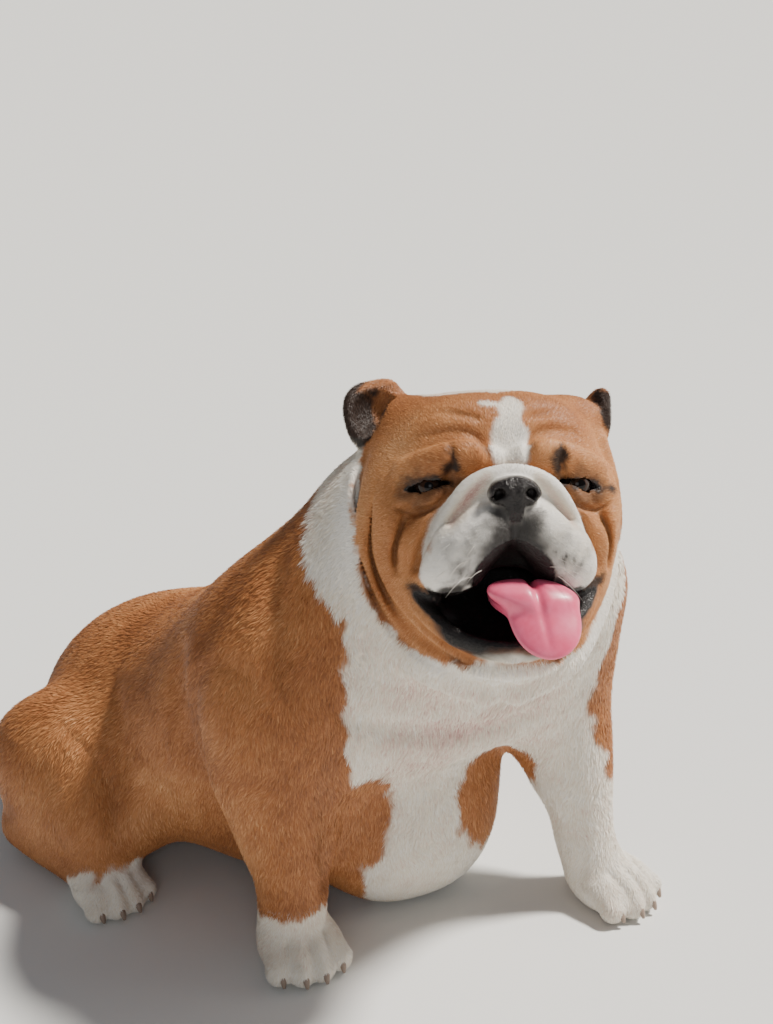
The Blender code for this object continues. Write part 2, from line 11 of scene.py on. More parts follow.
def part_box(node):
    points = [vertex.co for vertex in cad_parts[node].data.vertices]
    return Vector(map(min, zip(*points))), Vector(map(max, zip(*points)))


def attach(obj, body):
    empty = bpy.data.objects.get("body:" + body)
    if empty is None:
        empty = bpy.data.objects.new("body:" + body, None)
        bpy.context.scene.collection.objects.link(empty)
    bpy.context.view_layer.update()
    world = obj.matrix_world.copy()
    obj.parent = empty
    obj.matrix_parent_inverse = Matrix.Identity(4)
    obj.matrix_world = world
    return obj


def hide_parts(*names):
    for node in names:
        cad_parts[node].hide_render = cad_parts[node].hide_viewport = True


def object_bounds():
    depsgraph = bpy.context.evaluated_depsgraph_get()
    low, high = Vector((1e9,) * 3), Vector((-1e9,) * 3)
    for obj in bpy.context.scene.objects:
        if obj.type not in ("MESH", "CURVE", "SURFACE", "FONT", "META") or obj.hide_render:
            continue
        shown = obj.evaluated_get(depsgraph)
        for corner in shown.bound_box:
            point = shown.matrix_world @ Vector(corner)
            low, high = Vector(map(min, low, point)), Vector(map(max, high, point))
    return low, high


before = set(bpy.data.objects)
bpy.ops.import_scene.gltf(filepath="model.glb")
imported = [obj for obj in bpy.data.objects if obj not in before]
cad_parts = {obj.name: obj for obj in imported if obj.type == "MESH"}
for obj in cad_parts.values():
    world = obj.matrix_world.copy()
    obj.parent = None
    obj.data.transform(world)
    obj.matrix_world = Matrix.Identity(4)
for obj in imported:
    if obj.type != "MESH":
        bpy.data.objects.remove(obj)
cadLow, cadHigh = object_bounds()
print("frame loaded")

tiny = 1e-9  # keeps roots and divisions off nought
bothSides = (-1, 1)  # the dog's right and its left

# The dog's own measures, in metres: the hips face -Y, its left is +X
dog = {
    # place, turn and share of the paw's width: the forefeet, then the hind feet, the right one first
    "feet": [((-0.111, -0.076, 0), -30, 1.0), ((0.126, -0.24, 0), -8, 1.0),
             ((-0.155, 0.114, 0), -12, 0.92), ((0.155, 0.114, 0), 12, 0.92)],
    "headWidth": 0.205,
    "headCentre": (0.0115, -0.1755, 0.416),
    "headTurn": dict(yaw=-47.0, pitch=23.5, roll=1.0),
    "pawWidth": 0.07,
    "eyeRadius": 0.0115,
    "eyePlace": (0.054, -0.053, 0.0),  # the left eye in the head's own measures
}


# A place and a turn in which measures are given: point = centre + turn * (local * size)
class Frame:
    def __init__(self, centre=(0, 0, 0), yaw=0.0, pitch=0.0, roll=0.0, size=1.0):
        turn = Matrix.Rotation(np.radians(yaw), 3, "Z")
        turn = turn @ Matrix.Rotation(np.radians(-pitch), 3, "X")
        turn = turn @ Matrix.Rotation(np.radians(roll), 3, "Y")
        self.turn = np.array(turn)
        self.centre = np.array(centre, float)
        self.size = size

    def at(self, point):
        return self.centre + (np.array(point, float) * self.size) @ self.turn.T

    def local(self, points):
        return (points - self.centre) @ self.turn / self.size

    def inside(self, centre, angles=(0, 0, 0)):
        own = Frame(self.at(centre), size=self.size)
        own.turn = self.turn @ np.array(Euler(np.radians(angles)).to_matrix())
        return own


def headFrame():
    drawn = 0.208  # width of the head as its forms are given
    return Frame(dog["headCentre"], **dog["headTurn"], size=dog["headWidth"] / drawn)


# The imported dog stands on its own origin, so the shapes move with the middle of its left eye
eyeLow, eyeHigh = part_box("eye_left")
shift = np.array((eyeLow + eyeHigh) / 2) - headFrame().at(dog["eyePlace"])
world = Frame(shift)
head = headFrame()
head.centre = head.centre + shift


# Superellipsoid: with q the point over the radii, s = (sum |q|^p)^(1/p), distance is (s - 1) / |grad s|
def ball(own, centre, radii, angles=(0, 0, 0), power=2.0):
    own = own.inside(centre, angles)
    radii = np.array(radii, float) * own.size
    reach = np.abs(own.turn * radii).sum(axis=1)

    def distance(x, y, z):
        away = [x - own.centre[0], y - own.centre[1], z - own.centre[2]]
        total, slope = 0, 0
        for axis in range(3):
            share = np.abs(sum(float(own.turn[i, axis]) * away[i] for i in range(3))) / float(radii[axis])
            total = total + share**power
            slope = slope + (share ** (power - 1) / float(radii[axis])) ** 2
        size = total ** (1 / power)
        return (size - 1) * size ** (power - 1) / np.sqrt(slope + tiny)

    return own.centre - reach, own.centre + reach, distance


# A curve through the points by the Catmull-Rom rule, with so many steps to each stretch
def smoothPath(points, steps):
    points = np.array(points, float)
    if len(points) < 3:
        steps = 1
    ends = np.vstack([2 * points[0] - points[1], points, 2 * points[-1] - points[-2]])
    share = np.arange(steps)[:, None] / steps
    runs = []
    for a, b, c, d in zip(ends[:-3], ends[1:-2], ends[2:-1], ends[3:]):
        runs.append(0.5 * (2 * b + (c - a) * share + (2 * a - 5 * b + 4 * c - d) * share**2
                           + (3 * b - a - 3 * c + d) * share**3))
    return np.vstack(runs + [points[-1:]])


# Rounded tube: distance to the nearest stretch of the path, less the radius tapered along it
def limb(own, points, steps=4):
    path = smoothPath(points, steps) * own.size
    centres = path[:, :3] @ own.turn.T + own.centre
    radii = path[:, 3]

    def distance(x, y, z):
        best = None
        for a, b, ra, rb in zip(centres[:-1], centres[1:], radii[:-1], radii[1:]):
            run = b - a
            p = [x - a[0], y - a[1], z - a[2]]
            share = (p[0] * run[0] + p[1] * run[1] + p[2] * run[2]) / max(run @ run, 1e-12)
            share = np.clip(share, 0, 1)
            gap = sum((p[i] - share * run[i]) ** 2 for i in range(3))
            here = np.sqrt(gap) - (ra + share * (rb - ra))
            best = here if best is None else np.minimum(best, here)
        return best

    return (centres - radii[:, None]).min(axis=0), (centres + radii[:, None]).max(axis=0), distance


# The number between the i-th and the next, at this share of the way
def between(values, i, share):
    return values[i] + share * (values[i + 1] - values[i])


# A body round a path: x, y, z, half width, depth to the back, depth to the belly, twist in degrees.
# With q the point over its half width and depth, s = |q|, distance is (s - 1) s / |q over them again|
def barrel(own, stations, steps=4):
    path = smoothPath(stations, steps)
    centres = path[:, :3] @ own.turn.T + own.centre
    widths, backs, bellies, twists = path[:, 3:].T
    reach = path[:, 3:6].max(axis=1)[:, None]
    tangents = np.gradient(centres, axis=0)
    tangents /= np.linalg.norm(tangents, axis=1)[:, None]
    across = np.stack([np.cos(np.radians(twists)), np.sin(np.radians(twists)), 0 * twists], axis=1)
    across -= tangents * (across * tangents).sum(axis=1)[:, None]
    across /= np.linalg.norm(across, axis=1)[:, None]
    outward = np.cross(tangents, across)

    def distance(x, y, z):
        best = None
        for i in range(len(path) - 1):
            run = centres[i + 1] - centres[i]
            length = float(np.linalg.norm(run))
            run = run / length
            p = [x - centres[i][0], y - centres[i][1], z - centres[i][2]]
            along = sum(float(run[k]) * p[k] for k in range(3))
            share = np.clip(along / length, 0, 1)
            beyond = along - share * length
            p = [p[k] - along * float(run[k]) for k in range(3)]
            side = sum(between(across[:, k], i, share) * p[k] for k in range(3))
            depth = sum(between(outward[:, k], i, share) * p[k] for k in range(3))
            wide = between(widths, i, share)
            tall = np.where(depth > 0, between(backs, i, share), between(bellies, i, share))
            size = np.sqrt((side / wide) ** 2 + (depth / tall) ** 2 + (beyond / tall) ** 2 + tiny)
            slope = np.sqrt((side / wide**2) ** 2 + (depth / tall**2) ** 2 + (beyond / tall**2) ** 2 + tiny)
            here = (size - 1) * size / slope
            best = here if best is None else np.minimum(best, here)
        return best

    return (centres - reach).min(axis=0), (centres + reach).max(axis=0), distance


# The lesser of a and b, with the crease between them rounded: min(a, b) - w / 4 * (1 - |a - b| / 1.5 w)^3
def roundedLess(a, b, width):
    if width <= 0:
        return np.minimum(a, b)
    share = np.clip(1 - np.abs(a - b) / (1.5 * width), 0, 1)
    return np.minimum(a, b) - width / 4 * share**3


# Forms joined and cut in their order; its depth at a point is the distance to the surface, negative inside
class Clay:
    def __init__(self):
        self.forms = []

    def add(self, form, blend=0.0):
        self.forms.append((1, form, blend))

    def cut(self, form, blend=0.0):
        self.forms.append((-1, form, blend))

    def depthOf(self, points):
        depth = np.full(len(points), 1.0)
        for sign, (low, high, distance), blend in self.forms:
            margin = 1.5 * blend + 0.004
            near = np.all((points > low - margin) & (points < high + margin), axis=1).nonzero()[0]
            if len(near):
                x, y, z = points[near].T
                depth[near] = sign * roundedLess(sign * depth[near], distance(x, y, z), blend)
        return depth

    def depthAt(self, points, share=50000):
        parts = [points[i:i + share] for i in range(0, len(points), share)]
        with ThreadPoolExecutor(4) as workers:
            return np.concatenate(list(workers.map(self.depthOf, parts)))


def mirrored(side, points):
    return [(side * p[0],) + tuple(p[1:]) for p in points]


# A tube on one side of the head, its points given for the dog's left
def strand(side, points):
    return limb(head, mirrored(side, points))


# A tube across the head, its points given for the left half from the middle outward
def arch(half):
    return limb(head, mirrored(-1, half[:0:-1]) + half)


# Trunk: one barrel from the rump up to the nape, with the masses that lie on it
trunk = {
    # x, y, z, half width, depth to the back, depth to the belly, twist
    "spine": [
        (0, 0.26, 0.08, 0.076, 0.066, 0.066, 0),
        (0, 0.196, 0.102, 0.118, 0.11, 0.1, 0),
        (0, 0.11, 0.136, 0.132, 0.11, 0.128, 0),
        (0, 0.03, 0.184, 0.138, 0.11, 0.125, -5),
        (0.004, -0.04, 0.245, 0.136, 0.098, 0.115, -15),
        (0.008, -0.1, 0.318, 0.12, 0.094, 0.098, -28),
        (0.008, -0.148, 0.388, 0.092, 0.084, 0.08, -38),
    ],
    # centre, radii, angles, power, blend
    "masses": [
        # underside down to the floor, belly behind it, breast
        ((0.034, -0.07, 0.098), (0.09, 0.074, 0.106), (0, 0, -28), 2.4, 0.035),
        ((0.01, 0.03, 0.104), (0.105, 0.11, 0.102), (0, 0, 0), 2.0, 0.04),
        ((0.018, -0.108, 0.236), (0.128, 0.08, 0.08), (0, 0, -32), 2.0, 0.03),
        # right shoulder, left shoulder
        ((-0.078, -0.026, 0.236), (0.064, 0.088, 0.108), (25, 12, -16), 2.0, 0.05),
        ((0.111, -0.156, 0.28), (0.069, 0.084, 0.108), (18, -6, -30), 2.0, 0.05),
        # skin of the throat, scruff of the neck
        ((0.026, -0.16, 0.318), (0.112, 0.072, 0.072), (0, 0, -42), 2.0, 0.04),
        ((-0.01, -0.094, 0.382), (0.048, 0.044, 0.044), (0, 0, -40), 2.0, 0.03),
    ],
}


def shapeTrunk(clay):
    clay.add(barrel(world, trunk["spine"], steps=8))
    for centre, radii, angles, power, blend in trunk["masses"]:
        clay.add(ball(world, centre, radii, angles, power), blend)


def footFrame(place, yaw, share):
    drawn = 0.07  # width of a paw as its forms are given
    return Frame(np.array(place) + shift, yaw=yaw, size=dog["pawWidth"] * share / drawn)


# The toes of a foot, the middle two ahead: how far across and how far ahead
toes = [(0.0175 * i, 0.032 - 0.004 * i * i) for i in (-1.5, -0.5, 0.5, 1.5)]


# A rounded foot with four toes on the floor
def shapePaw(clay, foot):
    clay.add(ball(foot, (0, -0.002, 0.017), (0.036, 0.038, 0.024)), 0.012)
    for across, ahead in toes:
        clay.add(limb(foot, [(across * 0.8, -0.005, 0.022, 0.012), (across, -ahead, 0.0125, 0.0125)]), 0.004)


# Forelegs: a tube from the shoulder blade down to the wrist, and a shorter one for the elbow
def shapeForeLegs(clay):
    right = [(-0.064, -0.015, 0.262, 0.036), (-0.1, -0.04, 0.245, 0.05), (-0.112, -0.058, 0.17, 0.04),
             (-0.11, -0.066, 0.11, 0.034), (-0.109, -0.066, 0.06, 0.03), (-0.109, -0.064, 0.03, 0.029)]
    left = [(0.07, -0.11, 0.28, 0.036), (0.108, -0.148, 0.248, 0.05), (0.12, -0.186, 0.17, 0.041),
            (0.122, -0.202, 0.11, 0.032), (0.122, -0.212, 0.06, 0.028), (0.124, -0.222, 0.03, 0.028)]
    clay.add(limb(world, right, steps=8), 0.045)
    clay.add(limb(world, left, steps=8), 0.045)
    clay.add(limb(world, [(-0.118, -0.03, 0.175, 0.028), (-0.112, -0.055, 0.12, 0.024)]), 0.03)
    clay.add(limb(world, [(0.126, -0.15, 0.175, 0.028), (0.122, -0.185, 0.12, 0.024)]), 0.03)
    # valley behind the right shoulder and elbow
    valley = [(-0.142, 0.034, 0.262, 0.004), (-0.15, 0.016, 0.2, 0.008), (-0.142, 0.002, 0.14, 0.01),
              (-0.128, -0.006, 0.08, 0.01)]
    clay.cut(limb(world, valley), 0.03)
    for foot in dog["feet"][:2]:
        shapePaw(clay, footFrame(*foot))


# Hind legs: a ball for the thigh, a tube for the knee and one from the hock to the toes
def shapeHindLegs(clay):
    for side, foot in zip(bothSides, dog["feet"][2:]):
        thigh = ball(world, (side * 0.114, 0.182, 0.088), (0.062, 0.104, 0.078), (0, 0, side * -10))
        clay.add(thigh, 0.03)
        knee = [(0.135, 0.135, 0.07, 0.044), (0.135, 0.2, 0.045, 0.036)]
        clay.add(limb(world, mirrored(side, knee)), 0.03)
        hock = [(0.148, 0.23, 0.03, 0.026), (0.152, 0.12, 0.022, 0.025)]
        clay.add(limb(world, mirrored(side, hock)), 0.015)
        shapePaw(clay, footFrame(*foot))


# Tail: one tube, tapering down to the floor
def shapeTail(clay):
    clay.add(limb(world, [(0, 0.27, 0.07, 0.028), (0, 0.31, 0.04, 0.018), (0.01, 0.325, 0.02, 0.012)]), 0.02)


# Head, in its own measures: x to the dog's left, y to the back, z up, all from between the eyes
def shapeHead(clay):
    # skull, top of the neck, throat
    clay.add(ball(head, (0, 0.011, 0.018), (0.082, 0.079, 0.059), power=2.5), 0.02)
    clay.add(limb(head, [(0, 0.03, -0.03, 0.068), (0, 0.05, -0.08, 0.07)]), 0.03)
    clay.add(ball(head, (0, -0.012, -0.12), (0.07, 0.045, 0.036), (24, 0, 0)), 0.03)
    # cheek, muscle of the jaw
    for side in bothSides:
        clay.add(ball(head, (side * 0.062, 0, -0.022), (0.038, 0.06, 0.05)), 0.02)
        clay.add(ball(head, (side * 0.048, -0.012, -0.066), (0.038, 0.05, 0.038)), 0.02)
    # muzzle, corner of the skull under each ear, furrow of the forehead
    clay.add(ball(head, (0, -0.046, -0.034), (0.06, 0.046, 0.042), power=2.3), 0.02)
    clay.add(ball(head, (0, -0.072, -0.016), (0.044, 0.022, 0.02)), 0.012)
    for side in bothSides:
        clay.add(ball(head, (side * 0.062, 0.022, 0.05), (0.032, 0.03, 0.024), (0, side * -8, 0)), 0.016)
    furrow = [(0, -0.084, 0.03, 0.006), (0, -0.072, 0.062, 0.006), (0, -0.04, 0.086, 0.005)]
    clay.cut(limb(head, furrow), 0.016)
    brow = [(0.008, -0.066, 0.016, 0.01), (0.024, -0.069, 0.02, 0.013), (0.046, -0.064, 0.018, 0.013),
            (0.07, -0.046, 0.011, 0.011)]
    browCrease = [(0.008, -0.07, 0.037, 0.001), (0.03, -0.07, 0.041, 0.0015), (0.056, -0.058, 0.037, 0.001)]
    upperLid = [(0.04, -0.066, 0.004, 0.006), (0.056, -0.061, 0.009, 0.007), (0.075, -0.046, 0.002, 0.007)]
    lowerLid = [(0.04, -0.066, -0.004, 0.005), (0.056, -0.06, -0.01, 0.006), (0.075, -0.045, -0.006, 0.006)]
    # folds from the eye to the corner of the mouth
    outerFold = [(0.084, -0.022, 0.004, 0.009), (0.08, -0.036, -0.016, 0.01), (0.074, -0.048, -0.034, 0.01),
                 (0.074, -0.044, -0.05, 0.009), (0.069, -0.04, -0.066, 0.008)]
    innerFold = [(0.048, -0.068, -0.012, 0.006), (0.06, -0.06, -0.03, 0.008), (0.068, -0.052, -0.044, 0.008)]
    for side in bothSides:
        clay.add(strand(side, brow), 0.005)
        clay.cut(strand(side, browCrease), 0.008)
        clay.add(strand(side, upperLid), 0.004)
        clay.add(strand(side, lowerLid), 0.005)
        # slit between the lids, hollow below the eye
        slit = ball(head, (side * 0.057, -0.066, -0.0005), (0.018, 0.016, 0.003), (0, side * 8, side * 30))
        clay.cut(slit, 0.002)
        clay.cut(ball(head, (side * 0.068, -0.064, -0.025), (0.007, 0.008, 0.008)), 0.014)
        clay.add(strand(side, outerFold), 0.01)
        clay.add(strand(side, innerFold), 0.01)
    # the open mouth
    clay.cut(ball(head, (0, -0.07, -0.084), (0.058, 0.046, 0.016), (38, 0, 0)), 0.004)
    clay.cut(ball(head, (0, -0.098, -0.076), (0.027, 0.034, 0.03), (20, 0, 0)), 0.006)
    # lower jaw, its lip and the floor of the mouth
    clay.add(ball(head, (0, -0.044, -0.116), (0.05, 0.046, 0.02), (28, 0, 0)), 0.01)
    lip = [(0, -0.088, -0.119, 0.01), (0.034, -0.078, -0.112, 0.009), (0.056, -0.058, -0.096, 0.008),
           (0.068, -0.042, -0.078, 0.007)]
    clay.add(arch(lip), 0.006)
    clay.cut(ball(head, (0, -0.056, -0.09), (0.046, 0.044, 0.015), (38, 0, 0)), 0.006)
    # upper lip, hanging in a lobe on each side
    lobe = [(0.016, -0.09, -0.032, 0.019), (0.031, -0.084, -0.044, 0.023), (0.041, -0.073, -0.056, 0.024),
            (0.05, -0.056, -0.062, 0.018)]
    # folds from the ear round the jaw to the throat
    outer = [(0.084, 0.006, 0.034, 0.011), (0.09, 0.002, 0.004, 0.011), (0.089, -0.002, -0.028, 0.012),
             (0.08, -0.008, -0.06, 0.012), (0.062, -0.02, -0.092, 0.012), (0.038, -0.038, -0.122, 0.011),
             (0.01, -0.054, -0.138, 0.01)]
    inner = [(0.08, -0.026, -0.052, 0.008), (0.072, -0.034, -0.082, 0.008), (0.052, -0.05, -0.11, 0.008),
             (0.022, -0.07, -0.13, 0.009)]
    collar = [(0.074, 0.046, 0.034, 0.012), (0.088, 0.036, -0.02, 0.015), (0.084, 0.018, -0.08, 0.015),
              (0.052, -0.008, -0.132, 0.014), (0.012, -0.026, -0.154, 0.012)]
    for side in bothSides:
        clay.add(strand(side, lobe), 0.004)
        clay.add(strand(side, outer), 0.006)
        clay.add(strand(side, inner), 0.005)
        clay.add(strand(side, collar), 0.012)
    # rope of skin over the nose
    rope = [(0, -0.09, 0.0065, 0.0075), (0.02, -0.088, 0.0015, 0.0085), (0.037, -0.082, -0.012, 0.0095),
            (0.05, -0.072, -0.03, 0.0095), (0.057, -0.062, -0.048, 0.009)]
    clay.add(arch(rope), 0.003)
    # nose
    clay.add(ball(head, (0, -0.097, -0.007), (0.0175, 0.015, 0.012), (-12, 0, 0), power=2.4), 0.002)
    clay.add(ball(head, (0, -0.096, -0.018), (0.012, 0.013, 0.012)), 0.006)
    clay.cut(limb(head, [(0, -0.116, -0.01, 0.0008), (0, -0.12, -0.046, 0.0015)]), 0.004)
    nostril = [(0.0085, -0.12, -0.009, 0.0036), (0.012, -0.104, -0.008, 0.003)]
    wing = [(0.0115, -0.115, -0.012, 0.0012), (0.018, -0.106, -0.014, 0.001)]
    for side in bothSides:
        clay.add(ball(head, (side * 0.013, -0.102, -0.009), (0.007, 0.009, 0.008)), 0.003)
        clay.cut(strand(side, nostril), 0.002)
        clay.cut(strand(side, wing), 0.002)
    # right ear flops outward and shows its cup, the left one is folded back
    ear = head.inside((-0.089, 0.024, 0.06), (-8, -24, 22))
    clay.add(ball(ear, (0, 0, -0.002), (0.027, 0.009, 0.03), (0, 14, 0), power=2.4), 0.006)
    clay.add(limb(ear, [(0.022, 0, -0.018, 0.011), (0.02, 0.002, 0.012, 0.01)]), 0.01)
    clay.cut(ball(ear, (-0.002, -0.009, 0), (0.019, 0.01, 0.02), (0, 14, 0)), 0.003)
    ear = head.inside((0.089, 0.032, 0.054), (-20, 12, 12))
    clay.add(ball(ear, (0, 0, 0), (0.008, 0.025, 0.027), power=2.6), 0.006)
    clay.add(limb(ear, [(-0.008, 0, -0.014, 0.012), (-0.002, 0, 0.008, 0.009)]), 0.008)
    clay.cut(ball(ear, (0.009, -0.006, 0.001), (0.009, 0.016, 0.018)), 0.003)


# 0 below a, 1 above b, with a smooth rise between: 3 t^2 - 2 t^3
def rise(values, a, b):
    share = np.clip((values - a) / (b - a), 0, 1)
    return share * share * (3 - 2 * share)


# Smooth random field: a sum of sines in seeded directions, each octave twice as fine and half as strong
def ripple(points, scale, seed, octaves=3):
    waves, level = 5, 3.2  # sines in an octave, and what brings their sum to about 1
    draw = np.random.default_rng(seed)
    total = np.zeros(len(points))
    for octave in range(octaves):
        for _ in range(waves):
            way = draw.normal(size=3)
            way *= 2 * np.pi * 2**octave / (scale * np.linalg.norm(way))
            total += np.sin(points @ way + draw.uniform(0, 2 * np.pi)) * 0.5**octave / level
    return total


# 1 inside a form, 0 outside, with an edge of this softness that wanders a little
def marked(points, form, soft=0.004, wander=0.003, seed=1):
    low, high, distance = form
    mask = np.zeros(len(points))
    near = np.all((points > low - 0.03) & (points < high + 0.03), axis=1)
    depth = distance(*points[near].T)
    mask[near] = rise(-depth + ripple(points[near], 0.02, seed) * wander, -soft, soft)
    return mask


# The most of the masks of several forms, each wandering in its own way
def anyOf(points, forms, soft=0.004, wander=0.003):
    mask = np.zeros(len(points))
    for i, form in enumerate(forms):
        mask = np.maximum(mask, marked(points, form, soft, wander, seed=11 + i))
    return mask


# 1 near a place, 0 far from it: distance over the radii, with a smooth fall from a to b
def within(local, place, radii, a, b):
    return 1 - rise(np.linalg.norm((local - place) / radii, axis=1), a, b)


# How far a point is inside the head's part of the coat: 1 on the face, 0 on the trunk
def faceShare(points):
    return within(head.local(points), (0, -0.03, -0.015), (0.125, 0.11, 0.13), 0.85, 1.15)


# 1 at the feet, 0 above them
def footShare(points):
    return 1 - rise(points[:, 2], 0.02, 0.09)


def earShare(points):
    ears = [(-0.094, 0.024, 0.064), (0.09, 0.032, 0.058)]
    return np.maximum(*[within(head.local(points), ear, (0.036, 0.032, 0.036), 0.9, 1.2) for ear in ears])


# Bare skin: the inside of the mouth, nose leather, the rims of the eyes and the lower lip
def bareAt(points):
    forms = [
        ball(head, (0, -0.07, -0.084), (0.061, 0.048, 0.019), (38, 0, 0)),
        ball(head, (0, -0.094, -0.073), (0.031, 0.044, 0.034), (20, 0, 0)),
        ball(head, (0, -0.055, -0.068), (0.04, 0.045, 0.02)),
        ball(head, (0, -0.058, -0.094), (0.058, 0.048, 0.021), (38, 0, 0)),
        ball(head, (0, -0.103, -0.008), (0.02, 0.016, 0.0125)),
        limb(head, [(0, -0.108, -0.016, 0.008), (0, -0.11, -0.034, 0.006), (0, -0.11, -0.048, 0.006)]),
    ]
    forms += [ball(head, (side * 0.057, -0.06, -0.0005), (0.019, 0.016, 0.0046), (0, side * 8, side * 30))
              for side in bothSides]
    lip = [(0, -0.094, -0.111, 0.0085), (0.034, -0.084, -0.104, 0.008), (0.056, -0.062, -0.089, 0.007),
           (0.068, -0.046, -0.073, 0.005)]
    return anyOf(points, forms + [arch(lip)], 0.0012, 0.0004)


# Fine folds: lines on the skin, each point with the depth the skin sinks there
folds = {
    "faceWidth": 0.0029,
    "faceDepth": 1.9,         # all depths of the face are multiplied by this
    "noseWidth": 0.0019,
    "pinkWidth": 0.005,       # strip where pink skin shows through, not sunk
    "toeWidth": 0.004,
    "trunkWidth": 0.0105,
    "trunk": [
        # skin of the chest over the belly
        [(-0.112, -0.112, 0.27, 0.001), (-0.097, -0.136, 0.246, 0.006), (-0.07, -0.15, 0.231, 0.009),
         (-0.04, -0.167, 0.22, 0.009), (-0.007, -0.183, 0.212, 0.009), (0.024, -0.196, 0.211, 0.007),
         (0.045, -0.208, 0.222, 0.001)],
        # over the shoulder blade, and before it at the collar
        [(-0.092, -0.002, 0.362, 0.001), (-0.122, -0.006, 0.33, 0.006), (-0.146, -0.004, 0.29, 0.007),
         (-0.156, 0.002, 0.24, 0.006), (-0.156, 0.004, 0.19, 0.004), (-0.15, 0, 0.13, 0.001)],
        [(-0.082, -0.04, 0.392, 0.001), (-0.106, -0.056, 0.352, 0.005), (-0.132, -0.082, 0.31, 0.005),
         (-0.138, -0.096, 0.27, 0.001)],
        # before the thigh
        [(-0.1, 0.15, 0.2, 0.001), (-0.128, 0.118, 0.168, 0.007), (-0.147, 0.103, 0.115, 0.009),
         (-0.158, 0.092, 0.075, 0.006)],
        [(0.1, 0.15, 0.2, 0.001), (0.128, 0.118, 0.168, 0.007), (0.147, 0.103, 0.115, 0.009),
         (0.158, 0.092, 0.075, 0.006)],
        # between the right foreleg and the chest
        [(-0.117, -0.123, 0.25, 0.001), (-0.112, -0.118, 0.2, 0.006), (-0.104, -0.105, 0.135, 0.008),
         (-0.096, -0.092, 0.08, 0.006)],
    ],
    "nose": [
        [(0.0085, -0.116, -0.0085, 0.003), (0.0125, -0.112, -0.01, 0.0044), (0.0165, -0.108, -0.0135, 0.004),
         (0.0195, -0.103, -0.0125, 0.0014)],
        [(0, -0.108, 0.003, 0.0004), (0, -0.112, -0.006, 0.0012), (0, -0.112, -0.02, 0.002),
         (0, -0.11, -0.042, 0.0024)],
    ],
    "face": [
        # outer edge of the rope
        [(0.036, -0.088, 0.006, 0.001), (0.05, -0.08, -0.016, 0.0035), (0.0605, -0.071, -0.04, 0.004),
         (0.066, -0.062, -0.06, 0.003)],
        # between the rope and the lip
        [(0.021, -0.1, -0.002, 0.0014), (0.033, -0.096, -0.014, 0.0028), (0.042, -0.09, -0.028, 0.002),
         (0.048, -0.084, -0.042, 0.0004)],
        # cheek, from the eye's outer corner to the corner of the mouth
        [(0.066, -0.064, -0.01, 0.001), (0.075, -0.054, -0.028, 0.0036), (0.08, -0.046, -0.047, 0.0036),
         (0.079, -0.042, -0.062, 0.0016)],
        # from beside the eye down round the jaw to the chin
        [(0.09, -0.03, 0.006, 0.0008), (0.095, -0.026, -0.02, 0.0034), (0.096, -0.022, -0.05, 0.0044),
         (0.086, -0.026, -0.08, 0.0044), (0.068, -0.042, -0.106, 0.004), (0.044, -0.058, -0.124, 0.0034),
         (0.016, -0.076, -0.133, 0.001)],
        # from the ear round the jaw to the throat
        [(0.094, -0.006, 0.04, 0.002), (0.103, -0.008, 0.012, 0.0044), (0.106, -0.01, -0.02, 0.0046),
         (0.103, -0.014, -0.056, 0.0046), (0.091, -0.022, -0.09, 0.0046), (0.068, -0.036, -0.12, 0.004),
         (0.036, -0.056, -0.142, 0.0026), (0.01, -0.07, -0.15, 0.0006)],
        # over the brow, down to the blaze
        [(0.078, -0.046, 0.024, 0.0008), (0.062, -0.059, 0.036, 0.0034), (0.038, -0.068, 0.04, 0.0044),
         (0.022, -0.072, 0.036, 0.0044), (0.015, -0.078, 0.024, 0.0032), (0.014, -0.084, 0.016, 0.0012)],
        # forehead
        [(0.07, -0.04, 0.05, 0.0004), (0.048, -0.052, 0.055, 0.0016), (0.024, -0.058, 0.05, 0.0014),
         (0.014, -0.06, 0.046, 0.0002)],
        # above and below the inner corner of the eye
        [(0.04, -0.074, 0.028, 0.0006), (0.039, -0.076, 0.016, 0.0026), (0.043, -0.074, 0.004, 0.0022)],
        [(0.042, -0.076, -0.006, 0.002), (0.054, -0.068, -0.017, 0.0036), (0.07, -0.056, -0.019, 0.0026),
         (0.082, -0.042, -0.014, 0.0006)],
    ],
}


# How far the skin sinks along lines: depth e^(-(d / width)^2), d to the line with its y part shortened
def sunkAlong(own, points, lines, width, ahead=0.33):
    local = own.local(points)
    sunk = np.zeros(len(points))
    for line in lines:
        path = smoothPath(line, 10)
        low, high = path[:, :3].min(axis=0) - 2.5 * width, path[:, :3].max(axis=0) + 2.5 * width
        low[1], high[1] = low[1] - 3 * width, high[1] + 3 * width
        near = np.all((local > low) & (local < high), axis=1).nonzero()[0]
        if len(near) == 0:
            continue
        away = (((local[near][:, None, :] - path[None, :, :3]) * (1, ahead, 1)) ** 2).sum(axis=2)
        closest = away.argmin(axis=1)
        depth = path[closest, 3] * np.exp(-away[np.arange(len(near)), closest] / width**2)
        sunk[near] = np.maximum(sunk[near], depth)
    return sunk


def faceFoldsAt(points):
    lines = folds["face"] + [mirrored(-1, line) for line in folds["face"]]
    sunk = sunkAlong(head, points, lines, folds["faceWidth"]) * folds["faceDepth"]
    lines = folds["nose"] + [mirrored(-1, folds["nose"][0])]
    return np.maximum(sunk, sunkAlong(head, points, lines, folds["noseWidth"]))


def trunkFoldsAt(points):
    return sunkAlong(world, points, folds["trunk"], folds["trunkWidth"], 0.8)


